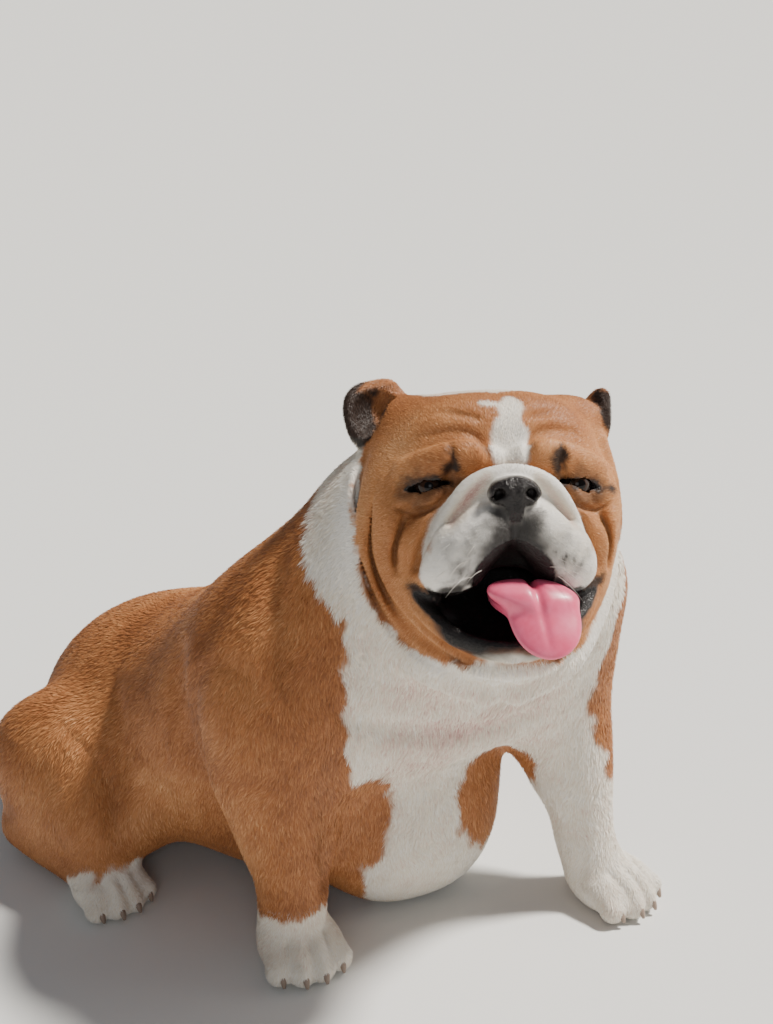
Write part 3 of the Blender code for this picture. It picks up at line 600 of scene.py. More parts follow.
# Clefts between the toes
def toeFoldsAt(points):
    sunk = np.zeros(len(points))
    for place in dog["feet"]:
        clefts = [[(x, -0.046, 0.004, 0.004), (x, -0.04, 0.02, 0.005), (x * 0.9, -0.022, 0.032, 0.004),
                   (x * 0.8, 0, 0.038, 0.001)] for x in (-0.0175, 0, 0.0175)]
        sunk = np.maximum(sunk, sunkAlong(footFrame(*place), points, clefts, folds["toeWidth"], 0.8))
    return sunk


# All that the folds sink the skin by
def foldsAt(points):
    return faceFoldsAt(points) + trunkFoldsAt(points) + toeFoldsAt(points)


# How far the skin lies inside the solids, which leaves room for the coat: none where it is bare
def coatDepthAt(points):
    body, face, foot = 0.002, 0.0008, 0.001
    depth = body + (face - body) * faceShare(points)
    depth = depth + (foot - depth) * np.maximum(footShare(points), earShare(points))
    return depth * (1 - bareAt(points)) + 0.0001


skinSettings = {
    "low": (-0.215, -0.335, -0.006),
    "high": (0.215, 0.345, 0.515),
    "fine": 0.0015,           # cell on the head
    "coarse": 0.0034,         # cell elsewhere
    "headLow": (-0.115, -0.32, 0.275),
    "headHigh": (0.15, -0.075, 0.515),
    "triangles": 190000,
}


# Grid lines from low to high, close together between the two inner marks
def gradedLines(low, high, fineLow, fineHigh, fine, coarse):
    return np.concatenate([np.arange(low, fineLow, coarse), np.arange(max(fineLow, low), fineHigh, fine),
                           np.arange(fineHigh, high + coarse, coarse)])


# A coarse field read between its lines, axis by axis
def readBetween(field, lines, finer):
    for axis in range(3):
        place = np.interp(finer[axis], lines[axis], np.arange(len(lines[axis])))
        first = np.clip(place.astype(int), 0, len(lines[axis]) - 2)
        share = (place - first).reshape([-1 if i == axis else 1 for i in range(3)]).astype(np.float32)
        field = np.take(field, first, axis=axis) * (1 - share) + np.take(field, first + 1, axis=axis) * share
    return field


# The surface where the clay's depth, less the coat, is nought: worked out finely only in a band round it
def clayMesh(name, clay, lines, inset, band=0.012, coarse=0.008):
    wide = [np.arange(line[0], line[-1] + coarse, coarse) for line in lines]
    grid = np.stack(np.meshgrid(*wide, indexing="ij"), axis=-1).reshape(-1, 3)
    rough = clay.depthAt(grid).astype(np.float32).reshape([len(line) for line in wide])
    depth = readBetween(rough, wide, lines)
    close = np.abs(depth) < band
    for sign, form, _ in clay.forms:
        if sign < 0:  # cuts may be finer than the coarse grid
            spans = [np.searchsorted(line, (a - 0.003, b + 0.003)) for line, a, b in zip(lines, *form[:2])]
            close[tuple(slice(*span) for span in spans)] = True
    close = close.nonzero()
    points = np.stack([line[i] for line, i in zip(lines, close)], axis=1)
    floor = 0.0006 - points[:, 2]
    depth[close] = np.maximum(clay.depthAt(points) + inset(points), floor)
    vdb = openvdb.FloatGrid()
    vdb.copyFromArray(np.clip(depth, -0.02, 0.02))
    cells, quads = vdb.convertToQuads(0.0)
    points = [np.interp(cells[:, i], np.arange(len(line)), line) for i, line in enumerate(lines)]
    return meshOf(name, np.stack(points, axis=1), quads)


# A new object in the scene
def placed(name, data):
    item = bpy.data.objects.new(name, data)
    bpy.context.scene.collection.objects.link(item)
    return item


# A mesh from arrays: points, one array of faces for each number of corners, and values at the points
def meshOf(name, points, *faces, **values):
    mesh = bpy.data.meshes.new(name)
    mesh.vertices.add(len(points))
    mesh.vertices.foreach_set("co", np.asarray(points, np.float32).ravel())
    corners = np.concatenate([group.ravel() for group in faces])
    mesh.loops.add(len(corners))
    mesh.loops.foreach_set("vertex_index", corners.astype(np.int32))
    sizes = np.concatenate([np.full(len(group), group.shape[1]) for group in faces])
    mesh.polygons.add(len(sizes))
    mesh.polygons.foreach_set("loop_start", (np.cumsum(sizes) - sizes).astype(np.int32))
    mesh.update(calc_edges=True)
    mesh.validate()
    mesh.shade_smooth()
    giveValues(mesh, **values)
    return placed(name, mesh)


# One attribute of the points for each set of values
def giveValues(mesh, **values):
    for name, numbers in values.items():
        attribute = mesh.attributes.new(name, "FLOAT", "POINT")
        attribute.data.foreach_set("value", np.asarray(numbers, np.float32))


# The item's modifiers worked into its mesh
def applyModifiers(item):
    graph = bpy.context.evaluated_depsgraph_get()
    mesh = bpy.data.meshes.new_from_object(item.evaluated_get(graph))
    item.modifiers.clear()
    old = item.data
    item.data = mesh
    bpy.data.meshes.remove(old)


# Rows of numbers read from a mesh
def readRows(source, key, width=3, kind=np.float32):
    rows = np.empty(len(source) * width, kind)
    source.foreach_get(key, rows)
    return rows.reshape(-1, width)


# Where the coat is white. On the trunk: ahead of one upright plane across the right of the chest and
# inside another across the left shoulder, less a patch on each side of the belly
def whiteAt(points):
    x, y, z = world.local(points).T
    stray = ripple(points, 0.03, 3) * 0.004
    edge = 0.003
    chest = rise(0.5 * (x + 0.108) - 0.87 * (y + 0.127) + stray, -edge, edge)
    lean = -0.02 + (0.33 - z) * 0.27
    inner = rise(lean - 0.8 * (x - 0.09) - 0.6 * (y + 0.24) + stray, -edge, edge)
    white = chest * np.maximum(inner, rise(0.118 - z + stray, -edge, edge))
    patches = [
        ball(world, (-0.064, -0.092, 0.122), (0.036, 0.045, 0.066)),
        ball(world, (0.066, -0.136, 0.112), (0.046, 0.04, 0.056)),
    ]
    white = white * (1 - anyOf(points, patches, 0.004, 0.005))
    # collar, over the neck from one side of the chest to the other
    collar = [
        (-0.11, -0.02, -0.08, 0.022), (-0.125, -0.01, -0.055, 0.026), (-0.128, 0, -0.015, 0.028),
        (-0.112, 0.03, 0.02, 0.026), (-0.06, 0.082, 0.045, 0.03), (0, 0.095, 0.05, 0.034),
        (0.07, 0.08, 0.03, 0.032), (0.105, 0.045, -0.03, 0.028), (0.105, 0.02, -0.08, 0.028),
    ]
    rest = [
        limb(head, collar),
        # feet
        ball(world, (-0.111, -0.08, 0.01), (0.06, 0.06, 0.05)),
        ball(world, (-0.155, 0.1, 0.006), (0.05, 0.06, 0.034)),
        ball(world, (0.155, 0.1, 0.006), (0.05, 0.06, 0.034)),
    ]
    white = np.maximum(white, anyOf(points, rest, 0.003, 0.004))
    mask = ball(head, (-0.004, -0.055, -0.01), (0.106, 0.085, 0.122), power=3.0)
    white = white * (1 - marked(points, mask, 0.002, 0.002))
    blaze = [
        (0.007, -0.046, 0.062, 0.006), (0.007, -0.052, 0.056, 0.0095), (0.006, -0.06, 0.046, 0.0085),
        (0.004, -0.068, 0.036, 0.0145), (0.002, -0.078, 0.02, 0.013), (0.002, -0.088, 0.012, 0.01),
    ]
    face = [
        # blaze, its hook to the right, and the back of the skull
        limb(head, blaze),
        limb(head, [(0, -0.05, 0.058, 0.004), (-0.014, -0.048, 0.06, 0.0025)]),
        ball(head, (-0.008, 0.022, 0.078), (0.048, 0.052, 0.03)),
        # rope and lips
        arch([(0, -0.095, 0.006, 0.0095), (0.02, -0.09, 0.001, 0.0105), (0.038, -0.084, -0.014, 0.0105),
              (0.05, -0.074, -0.034, 0.0105), (0.054, -0.068, -0.052, 0.0095)]),
        ball(head, (0.024, -0.088, -0.048), (0.034, 0.034, 0.036)),
        ball(head, (-0.024, -0.088, -0.048), (0.034, 0.034, 0.036)),
        ball(head, (0.044, -0.078, -0.062), (0.0225, 0.028, 0.023)),
        ball(head, (-0.044, -0.078, -0.062), (0.0225, 0.028, 0.023)),
        ball(head, (0, -0.1, -0.016), (0.036, 0.024, 0.024)),
        # chin
        ball(head, (0, -0.084, -0.122), (0.03, 0.02, 0.007), (28, 0, 0)),
    ]
    return np.maximum(white, anyOf(points, face, 0.002, 0.0015))


# Where the coat and skin are painted dark: black round the lips and the eyes, in the ears and at their rims,
# and on bare skin; painted shade round the eyes and in the folds
def darkAt(points):
    soft = [
        # below the nose, then the right ear and the left one, each with its rim
        limb(head, [(0, -0.106, -0.018, 0.009), (0, -0.108, -0.034, 0.012), (0, -0.107, -0.048, 0.015)]),
        ball(head, (-0.098, 0.012, 0.06), (0.021, 0.016, 0.024)),
        limb(head, [(-0.118, 0.02, 0.052, 0.007), (-0.118, 0.02, 0.066, 0.008), (-0.1, 0.02, 0.092, 0.007),
                    (-0.076, 0.02, 0.088, 0.004)]),
        ball(head, (0.096, 0.02, 0.06), (0.012, 0.02, 0.02)),
        limb(head, [(0.1, 0.03, 0.05, 0.006), (0.098, 0.03, 0.076, 0.005)]),
    ]
    # inner corner of the eye, its lower lid, edge of the upper lip
    lines = [
        [(0.04, -0.074, 0.029, 0.0025), (0.0385, -0.076, 0.016, 0.0055), (0.043, -0.072, 0.003, 0.005)],
        [(0.042, -0.072, 0.001, 0.003), (0.058, -0.066, 0.001, 0.005), (0.078, -0.046, -0.004, 0.004),
         (0.086, -0.034, -0.008, 0.002)],
        [(0.01, -0.106, -0.05, 0.006), (0.028, -0.094, -0.07, 0.006), (0.046, -0.08, -0.08, 0.006),
         (0.06, -0.064, -0.079, 0.005), (0.07, -0.048, -0.07, 0.005)],
    ]
    soft += [strand(side, line) for side in bothSides for line in lines]
    dark = anyOf(points, soft, 0.003, 0.003)
    # grey markings over the lips, blackest below the nose, and painted shade round the eyes
    band = limb(head, [(0, -0.104, -0.02, 0.015), (0, -0.106, -0.036, 0.021), (0, -0.102, -0.054, 0.027)])
    grey = anyOf(points, [band], 0.01, 0.004) * 0.93
    lips = anyOf(points, [ball(head, (0, -0.092, -0.056), (0.05, 0.034, 0.032))], 0.016, 0.006)
    spots = rise(ripple(points, 0.0065, 33, 2), 0.25, 0.75)
    grey = np.maximum(grey, lips * (0.36 + 0.22 * ripple(points, 0.013, 31, 3) + 0.25 * spots))
    # painted shade in the hollows round the eyes
    eyes = [ball(head, (side * 0.058, -0.062, -0.004), (0.026, 0.024, 0.012), (0, side * 8, side * 30))
            for side in bothSides]
    grey = np.maximum(grey, 0.55 * anyOf(points, eyes, 0.007, 0.004))
    # painted shade in the folds of the face and trunk: darker the deeper they sink, less on white coat
    creaseShade = np.clip(100.0 * faceFoldsAt(points) - 0.12, 0, 0.46) + 14.0 * trunkFoldsAt(points)
    dark = np.maximum(np.maximum(dark * 0.94, grey), creaseShade * (1 - 0.8 * whiteAt(points)))
    # bare skin painted black: the nose leather, lips and eye rims are black, and inside the mouth the black
    # is partly painted shade of its hollow
    return np.maximum(dark, bareAt(points))


def makeSkin():
    clay = Clay()
    shapeTrunk(clay)
    shapeForeLegs(clay)
    shapeHindLegs(clay)
    shapeTail(clay)
    shapeHead(clay)
    x, y, z = dog["eyePlace"]
    for side in bothSides:
        clay.cut(ball(head, (side * x, y, z), (dog["eyeRadius"] + 0.0002,) * 3))
    scale = 1.0
    marks = zip(*[skinSettings[key] for key in ("low", "high", "headLow", "headHigh")])
    cells = [skinSettings[key] * scale for key in ("fine", "coarse")]
    lines = [gradedLines(*mark, *cells) for mark in marks]
    skin = clayMesh("skin", clay, lines, lambda points: coatDepthAt(points) + foldsAt(points))
    skin.data.calc_loop_triangles()
    count = len(skin.data.loop_triangles)
    print("skin made,", count, "triangles before thinning")
    thinner = skin.modifiers.new("Decimate", "DECIMATE")
    thinner.ratio = min(1.0, skinSettings["triangles"] / count)
    applyModifiers(skin)
    points = readRows(skin.data.vertices, "co").astype(float)
    # markings, with the painted shade of folds, eyes, mouth and chest in the dark and tone values
    marks = dict(white=whiteAt(points), dark=darkAt(points), bare=bareAt(points), tone=toneAt(points))
    giveValues(skin.data, **marks)
    bpy.context.view_layer.objects.active = skin
    skin.select_set(True)
    bpy.ops.object.mode_set(mode="EDIT")
    bpy.ops.mesh.select_all(action="SELECT")
    bpy.ops.uv.smart_project(angle_limit=math.radians(66), island_margin=0.002)
    bpy.ops.object.mode_set(mode="OBJECT")
    skin.select_set(False)
    print("skin unwrapped")
    return skin


# The lie of the coat: from the nose back over the head, from the nape to the rump, and down the legs
def lieAt(points):
    fromNose = (head.local(points) - (0, -0.115, -0.01)) @ head.turn.T
    fromNose /= np.linalg.norm(fromNose, axis=1)[:, None] + tiny
    back, down = np.array([0, 0.72, -0.55]), np.array([0, 0, -1.0])
    side = np.abs(points[:, 0:1] - shift[0]) / 0.13
    body = back + down * side * 0.9
    front = rise(-points[:, 1:2], 0.02 - shift[1], 0.12 - shift[1])
    body = body * (1 - 0.8 * front) + down * 0.8 * front
    legs = 1 - rise(points[:, 2:3], 0.1, 0.2)
    body = body * (1 - 0.7 * legs) + down * 0.7 * legs
    face = faceShare(points)[:, None]
    return body * (1 - face) + fromNose * face


coat = {
    "seed": 7,
    "tufts": 420000,
    "perPiece": 64000,
    "bodyLength": 0.0058,
    "headLength": 0.003,
    "footLength": 0.0036,
    "earLength": 0.0026,
    "slim": 0.15,             # a tuft's width over its length
    "rooted": 0.0002,         # how deep a tuft starts in the skin
    "margin": 0.0003,         # kept free at the sides of the solids' box
    "patch": 0.003,           # size of a tuft's place in the OFBake map
}


# Length of the tufts: by the part of the dog, and shorter round the nose and lips
def lengthAt(points):
    length = coat["bodyLength"] + (coat["headLength"] - coat["bodyLength"]) * faceShare(points)
    muzzle = within(head.local(points), (0, -0.085, -0.04), (0.062, 0.035, 0.05), 0.9, 1.3)
    length = length * (1 - 0.35 * muzzle)
    length = length + (coat["footLength"] - length) * footShare(points)
    return length + (coat["earLength"] - length) * earShare(points)


# Light and deep fawn, 1 the lightest: deeper on the crown, lighter on thigh, flank and elbow; painted shade
# on the chest under the head and in the folds of the trunk
def toneAt(points):
    local = world.local(points)
    tone = 0.5 + 0.1 * ripple(points, 0.09, 5) + 0.04 * ripple(points, 0.02, 6)
    paler = [((-0.165, 0.15, 0.11), 0.09), ((0.165, 0.15, 0.11), 0.09), ((-0.15, 0.02, 0.11), 0.07),
             ((0.15, 0, 0.11), 0.07), ((-0.14, -0.06, 0.13), 0.06)]
    for place, reach in paler:
        tone += 0.14 * within(local, place, 1.0, 0.3 * reach, 1.3 * reach)
    crown = rise(head.local(points)[:, 2], 0.03, 0.07)
    tone = tone + faceShare(points) * (0.19 - 0.24 * crown)
    # painted shade: the chest under the head and the folds of the trunk darker
    throatShade = within(local, (-0.01, -0.19, 0.25), 1.0, 0.05, 0.16)
    tone = tone - 0.1 * throatShade - 6.0 * trunkFoldsAt(points)
    # pink skin showing through beside the nose and inside the rope: here the fourth number is how much
    thin = [(0.018, -0.1, 0.004, 0.5), (0.03, -0.097, -0.01, 0.6), (0.041, -0.09, -0.026, 0.4),
            (0.047, -0.084, -0.04, 0.05)]
    return tone - sunkAlong(head, points, [mirrored(side, thin) for side in bothSides], folds["pinkWidth"])


# Tufts: each a blade of a quad and a triangle, rooted at a random place on the skin, bent over along the lie
def makeCoat(skin):
    mesh = skin.data
    mesh.calc_loop_triangles()
    corners = readRows(mesh.loop_triangles, "vertices", kind=np.int32)
    loops = readRows(mesh.loop_triangles, "loops", kind=np.int32)
    uv = readRows(mesh.uv_layers.active.data, "uv", 2)
    points = readRows(mesh.vertices, "co").astype(float)
    normals = readRows(mesh.vertex_normals, "vector").astype(float)
    # closer where they are shorter, none on bare skin or on what rests on the floor
    a, b, c = (points[corners[:, i]] for i in range(3))
    middle = (a + b + c) / 3
    area = np.linalg.norm(np.cross(b - a, c - a), axis=1) / 2
    weight = area / lengthAt(middle) ** 2 * (bareAt(middle) < 0.4)
    weight *= ~((middle[:, 2] < 0.003) & (normals[corners[:, 0], 2] < -0.7))
    draw = np.random.default_rng(coat["seed"])
    amount = coat["tufts"] // 1
    ladder = np.cumsum(weight) / weight.sum()
    chosen = np.searchsorted(ladder, (np.arange(amount) + draw.uniform(size=amount)) / amount)
    chosen = np.minimum(chosen, len(corners) - 1)
    u, v = draw.uniform(size=(2, amount))
    flip = u + v > 1
    u[flip], v[flip] = 1 - u[flip], 1 - v[flip]
    shares = np.stack([1 - u - v, u, v], axis=1)[:, :, None]
    root = (points[corners[chosen]] * shares).sum(axis=1)
    normal = (normals[corners[chosen]] * shares).sum(axis=1)
    normal /= np.linalg.norm(normal, axis=1)[:, None] + tiny
    place = (uv[loops[chosen]] * shares).sum(axis=1)

    length = lengthAt(root) * draw.uniform(0.75, 1.25, amount)
    width = length * coat["slim"] * draw.uniform(0.8, 1.2, amount)
    lift = coatDepthAt(root) * draw.uniform(0.35, 0.95, amount)
    way = lieAt(root)
    swirl = ripple(root, 0.05, 21) * 0.3 + draw.normal(size=amount) * 0.14
    way -= normal * (way * normal).sum(axis=1)[:, None]
    way /= np.linalg.norm(way, axis=1)[:, None] + tiny
    across = np.cross(normal, way)
    way = way * np.cos(swirl)[:, None] + across * np.sin(swirl)[:, None]
    across = np.cross(normal, way)
    roll = draw.normal(size=amount) * 0.22
    across = across * np.cos(roll)[:, None] + normal * np.sin(roll)[:, None]

    # five points: two at the root, two half way, one at the tip
    def level(along, half, up):
        centre = root + way * (length * along)[:, None] + normal * (lift * up - coat["rooted"])[:, None]
        if half == 0:
            return [centre]
        return [centre - across * (width * half)[:, None], centre + across * (width * half)[:, None]]

    blades = np.stack(level(0, 0.5, 0) + level(0.5, 0.42, 0.72) + level(1, 0, 1.0), axis=1)
    blades = np.clip(blades, np.array(cadLow) + coat["margin"], np.array(cadHigh) - coat["margin"])
    white, dark = whiteAt(root), darkAt(root)
    tone = np.clip(toneAt(root) + 0.09 * draw.normal(size=amount), 0, 1)
    onHead = faceShare(root) > 0.5
    pieces = []
    for word, members in (("coat_body", (~onHead).nonzero()[0]), ("coat_head", onHead.nonzero()[0])):
        members = members[np.argsort(root[members, 1] - 0.3 * root[members, 2])]
        for i, part in enumerate(np.array_split(members, math.ceil(len(members) / coat["perPiece"]))):
            pieces.append(tuftPiece(word + "_" + str(i + 1), blades[part], place[part],
                                    white=white[part], dark=dark[part], tone=tone[part]))
    print("coat made,", amount, "tufts in", len(pieces), "pieces")
    return pieces


# One piece of the coat; in the OFBake map each tuft has a patch of its own at its root's place
def tuftPiece(name, blades, place, **values):
    start = np.arange(len(blades))[:, None] * 5
    quads, tips = start + (0, 1, 3, 2), start + (2, 3, 4)
    values = {key: np.repeat(value, 5) for key, value in values.items()}
    along = np.tile([0, 0, 0.5, 0.5, 1.0], len(blades))
    item = meshOf(name, blades.reshape(-1, 3), quads, tips, **values, along=along)
    patch = coat["patch"] * np.array([(-0.5, -0.5), (0.5, -0.5), (-0.4, 0), (0.4, 0), (0, 0.5)])
    corners = (place[:, None, :] + patch).reshape(-1, 2)
    order = np.concatenate([quads.ravel(), tips.ravel()])
    layer = item.data.uv_layers.new(name="OFBake")
    layer.data.foreach_set("uv", corners[order].astype(np.float32).ravel())
    return item


# Short names for building node materials; an input takes a value or another node's socket
class Nodes:
    def __init__(self, name):
        self.material = bpy.data.materials.new(name)
        self.material.use_nodes = True
        self.tree = self.material.node_tree

    def fill(self, node, inputs):
        for key, value in inputs.items():
            if isinstance(value, bpy.types.NodeSocket):
                self.tree.links.new(value, node.inputs[key])
            else:
                node.inputs[key].default_value = value

    def node(self, kind, inputs, **settings):
        made = self.tree.nodes.new("ShaderNode" + kind)
        for key, value in settings.items():
            setattr(made, key, value)
        self.fill(made, inputs)
        return made

    def attribute(self, name):
        return self.node("Attribute", {}, attribute_name=name).outputs["Fac"]

    def place(self):
        return self.node("TexCoord", {}).outputs["Object"]

    def noise(self, scale, detail=3.0, rough=0.6):
        inputs = {"Vector": self.place(), "Scale": scale, "Detail": detail, "Roughness": rough}
        return self.node("TexNoise", inputs).outputs["Fac"]

    def maths(self, kind, *values):
        return self.node("Math", dict(enumerate(values)), operation=kind).outputs[0]

    def ramp(self, value, stops):
        made = self.node("ValToRGB", {"Fac": value})
        ramp = made.color_ramp
        while len(ramp.elements) < len(stops):
            ramp.elements.new(0.5)
        for element, (place, colour) in zip(ramp.elements, stops):
            element.position = place
            element.color = colour + (1.0,)
        return made.outputs["Color"]

    def mix(self, share, a, b):
        return self.node("Mix", {0: share, 6: a, 7: b}, data_type="RGBA").outputs[2]

    def bump(self, height, strength, distance):
        inputs = {"Height": height, "Strength": strength, "Distance": distance}
        return self.node("Bump", inputs).outputs["Normal"]

    # the finished material, with these inputs of its shader
    def shaded(self, inputs):
        self.fill(self.tree.nodes["Principled BSDF"], inputs)
        return self.material


finish = {
    "fawn": [(0.0, (0.13, 0.04, 0.014)), (0.45, (0.39, 0.145, 0.048)), (0.75, (0.56, 0.25, 0.095)),
             (1.0, (0.72, 0.4, 0.19))],
    "white": [(0.0, (0.5, 0.24, 0.22)), (0.2, (0.72, 0.54, 0.47)), (0.4, (0.8, 0.73, 0.61)),
              (0.62, (0.87, 0.83, 0.76)), (1.0, (0.93, 0.91, 0.88))],
    "dark": [(0.0, (0.004, 0.0035, 0.0035)), (1.0, (0.022, 0.018, 0.017))],
    "skinRough": 0.75,
    "bareRough": 0.27,
    "tuftRough": 0.52,
}


# Fawn, white and black mixed by the markings and by the painted shade held in the dark and tone values; the
# coat and the skin below share it
def coatColour(look, tone):
    fawn = look.ramp(tone, finish["fawn"])
    white = look.ramp(tone, finish["white"])
    dark = look.ramp(tone, finish["dark"])
    colour = look.mix(look.attribute("white"), fawn, white)
    return look.mix(look.attribute("dark"), colour, dark)


def skinLook():
    look = Nodes("shortCoatSkin")
    bare = look.attribute("bare")
    fine = look.noise(900.0, 4.0, 0.7)
    tone = look.maths("ADD", look.attribute("tone"), look.maths("MULTIPLY_ADD", fine, 0.3, -0.25))
    # cobbles and lumps of the nose leather, where the skin is bare
    cobbles = look.node("TexVoronoi", {"Vector": look.place(), "Scale": 620.0}, feature="DISTANCE_TO_EDGE")
    cobbles = look.maths("MINIMUM", cobbles.outputs["Distance"], 0.25)
    cobbles = look.maths("MULTIPLY", look.maths("MULTIPLY", cobbles, 3.0), bare)
    lumps = look.maths("MULTIPLY", look.maths("MULTIPLY", look.noise(140.0, 2.0), 4.0), bare)
    leather = look.maths("ADD", cobbles, lumps)
    height = look.maths("ADD", leather, look.maths("MULTIPLY", fine, 0.7))
    return look.shaded({
        "Base Color": coatColour(look, tone),
        "Roughness": look.ramp(bare, [(0.0, (finish["skinRough"],) * 3), (1.0, (finish["bareRough"],) * 3)]),
        "Specular IOR Level": 0.32,
        "Normal": look.bump(height, 0.5, 0.0006),
    })


def coatLook():
    look = Nodes("shortCoatTufts")
    paler = look.maths("MULTIPLY_ADD", look.attribute("along"), 0.16, -0.06)  # towards the tips
    tone = look.maths("ADD", look.attribute("tone"), paler)
    return look.shaded({
        "Base Color": coatColour(look, tone),
        "Roughness": finish["tuftRough"],
        "Specular IOR Level": 0.35,
    })


tongueLook = {
    "stops": [(0.3, (0.78, 0.085, 0.18)), (0.7, (0.88, 0.16, 0.28))],
    "rough": 0.38,
    "wet": 0.25,              # weight of the clear layer on it
    "grooveWidth": 0.0026,
}


# Tongue: three flattened balls along it, a cut and a softer groove down the middle
def makeTongue():
    clay = Clay()
    clay.add(ball(head, (0.012, -0.064, -0.084), (0.026, 0.036, 0.008), (14, 0, 0), power=2.4))
    clay.add(ball(head, (0.013, -0.093, -0.081), (0.033, 0.014, 0.009), (30, 8, 0), power=2.2), 0.008)
    clay.add(ball(head, (0.021, -0.103, -0.1), (0.0245, 0.007, 0.029), (-29.5, -14, 0)), 0.012)
    clay.cut(limb(head, [(0.004, -0.06, -0.073, 0.001), (0.014, -0.098, -0.071, 0.001),
                         (0.018, -0.118, -0.099, 0.001), (0.019, -0.126, -0.118, 0.001)]), 0.006)
    groove = [(0.008, -0.072, -0.074, 0.0016), (0.0135, -0.098, -0.074, 0.0024),
              (0.016, -0.11, -0.086, 0.0022), (0.019, -0.118, -0.104, 0.0014), (0.021, -0.122, -0.12, 0.0002)]

    def inset(points):
        return 0.0003 + sunkAlong(head, points, [groove], tongueLook["grooveWidth"])

    reach, cell = 0.065, 0.001
    lines = [np.arange(c - reach, c + reach, cell) for c in head.at((0.01, -0.085, -0.095))]
    tongue = clayMesh("tongue_surface", clay, lines, inset, band=0.02)
    look = Nodes("wetTongue")
    tongue.data.materials.append(look.shaded({
        "Base Color": look.ramp(look.noise(60.0, 3.0), tongueLook["stops"]),
        "Roughness": tongueLook["rough"],
        "Coat Weight": tongueLook["wet"],
        "Coat Roughness": 0.2,
        "Normal": look.bump(look.noise(1500.0, 2.0, 0.5), 0.25, 0.0004),
    }))
    return tongue


# Colour of the eyeball by the angle from the gaze: pupil, iris, then the white; all near black, partly the
# eye's own dark colour and partly painted shade under the lids
eyeStops = [(0.0, (0.003, 0.002, 0.002)), (0.26, (0.003, 0.002, 0.002)), (0.31, (0.03, 0.011, 0.004)),
            (0.62, (0.018, 0.008, 0.004)), (0.72, (0.008, 0.004, 0.003)), (0.95, (0.014, 0.008, 0.006))]


# Eyeball: a ball whose radius grows by the cornea's bulge round the gaze, r (1 + 0.07 e^(-(angle / 0.55)^2))
def makeEye(side, word):
    rings, spokes = 41, 65
    angle, turn = np.meshgrid(np.linspace(0, np.pi, rings), np.linspace(0, 2 * np.pi, spokes), indexing="ij")
    radius = dog["eyeRadius"] * (1 + 0.07 * np.exp(-(angle / 0.55) ** 2))
    x, y, z = dog["eyePlace"]
    gaze = head.inside((side * x, y, z), (4, 0, side * 12))
    local = np.stack([np.sin(angle) * np.cos(turn), -np.cos(angle), np.sin(angle) * np.sin(turn)], axis=-1)
    points = gaze.centre + (local * radius[..., None]) @ gaze.turn.T
    index = np.arange(rings * spokes).reshape(rings, spokes)
    faces = np.stack([index[:-1, :-1], index[1:, :-1], index[1:, 1:], index[:-1, 1:]], axis=-1).reshape(-1, 4)
    eye = meshOf("eyeball_" + word, points.reshape(-1, 3), faces, angle=angle.ravel())
    body = bmesh.new()
    body.from_mesh(eye.data)
    bmesh.ops.remove_doubles(body, verts=body.verts[:], dist=0.00001)
    bmesh.ops.recalc_face_normals(body, faces=body.faces[:])
    body.to_mesh(eye.data)
    body.free()
    look = Nodes("eye_" + word)
    eye.data.materials.append(look.shaded({
        "Base Color": look.ramp(look.attribute("angle"), eyeStops),
        "Roughness": 0.05,
        "Specular IOR Level": 0.22,
    }))
    return eye


# A tapered tube along each path, its rings squared to the way it runs, closed by a point at both ends
def tubes(name, paths, sides=6):
    points, faces, start = [], [], 0
    turn = np.linspace(0, 2 * np.pi, sides, endpoint=False)[:, None]
    for path in paths:
        way = np.gradient(path[:, :3], axis=0)
        way /= np.linalg.norm(way, axis=1)[:, None]
        across = np.cross(way, (0.31, 0.17, 0.94))
        across /= np.linalg.norm(across, axis=1)[:, None]
        up = np.cross(across, way)
        ring = across[:, None] * np.cos(turn) + up[:, None] * np.sin(turn)
        rings = path[:, None, :3] + ring * path[:, None, 3:4]
        count = len(path)
        points += [rings.reshape(-1, 3), path[:1, :3], path[-1:, :3]]
        i, j = (grid.ravel() for grid in np.meshgrid(np.arange(count - 1), np.arange(sides), indexing="ij"))
        here, there, k = i * sides, (i + 1) * sides, (j + 1) % sides
        faces.append(start + np.stack([here + j, here + k, there + k], axis=1))
        faces.append(start + np.stack([here + j, there + k, there + j], axis=1))
        j = np.arange(sides)
        k, last, ends = (j + 1) % sides, (count - 1) * sides, np.full(sides, count * sides)
        faces.append(start + np.stack([ends, k, j], axis=1))
        faces.append(start + np.stack([ends + 1, last + j, last + k], axis=1))
        start += count * sides + 2
    return meshOf(name, np.vstack(points), np.vstack(faces))


whiskers = {
    "seed": 3,
    "perSide": 12,
    "length": 0.024,
    "thick": 0.00032,
    "colour": (0.62, 0.58, 0.52, 1.0),
}


# Whiskers curve out from the lips and hang a little at their ends
def makeWhiskers():
    draw = np.random.default_rng(whiskers["seed"])
    share = np.linspace(0, 1, 6)[:, None]
    thick = whiskers["thick"] * (1 - 0.9 * share)
    paths = []
    for side in np.repeat(bothSides, whiskers["perSide"]):
        across, high = draw.uniform(0.022, 0.046), draw.uniform(-0.07, -0.038)
        root = np.array([side * across, -0.1 + 14 * (across - 0.02) ** 2, high])
        way = np.array([side * draw.uniform(0.6, 1.0), -0.75, draw.uniform(-0.7, 0.1)])
        way *= whiskers["length"] * draw.uniform(0.6, 1.1) / np.linalg.norm(way)
        path = root + way * share + share**2 * (0, 0.003, -0.006)
        paths.append(np.hstack([head.at(path), thick]))
    hairs = tubes("whiskers", paths, 5)
    look = Nodes("whiskerHair")
    hairs.data.materials.append(look.shaded({"Base Color": whiskers["colour"], "Roughness": 0.45}))
    return hairs


claws = {
    "length": 0.0075,
    "thick": 0.0032,
    "colour": (0.3, 0.22, 0.17, 1.0),
}


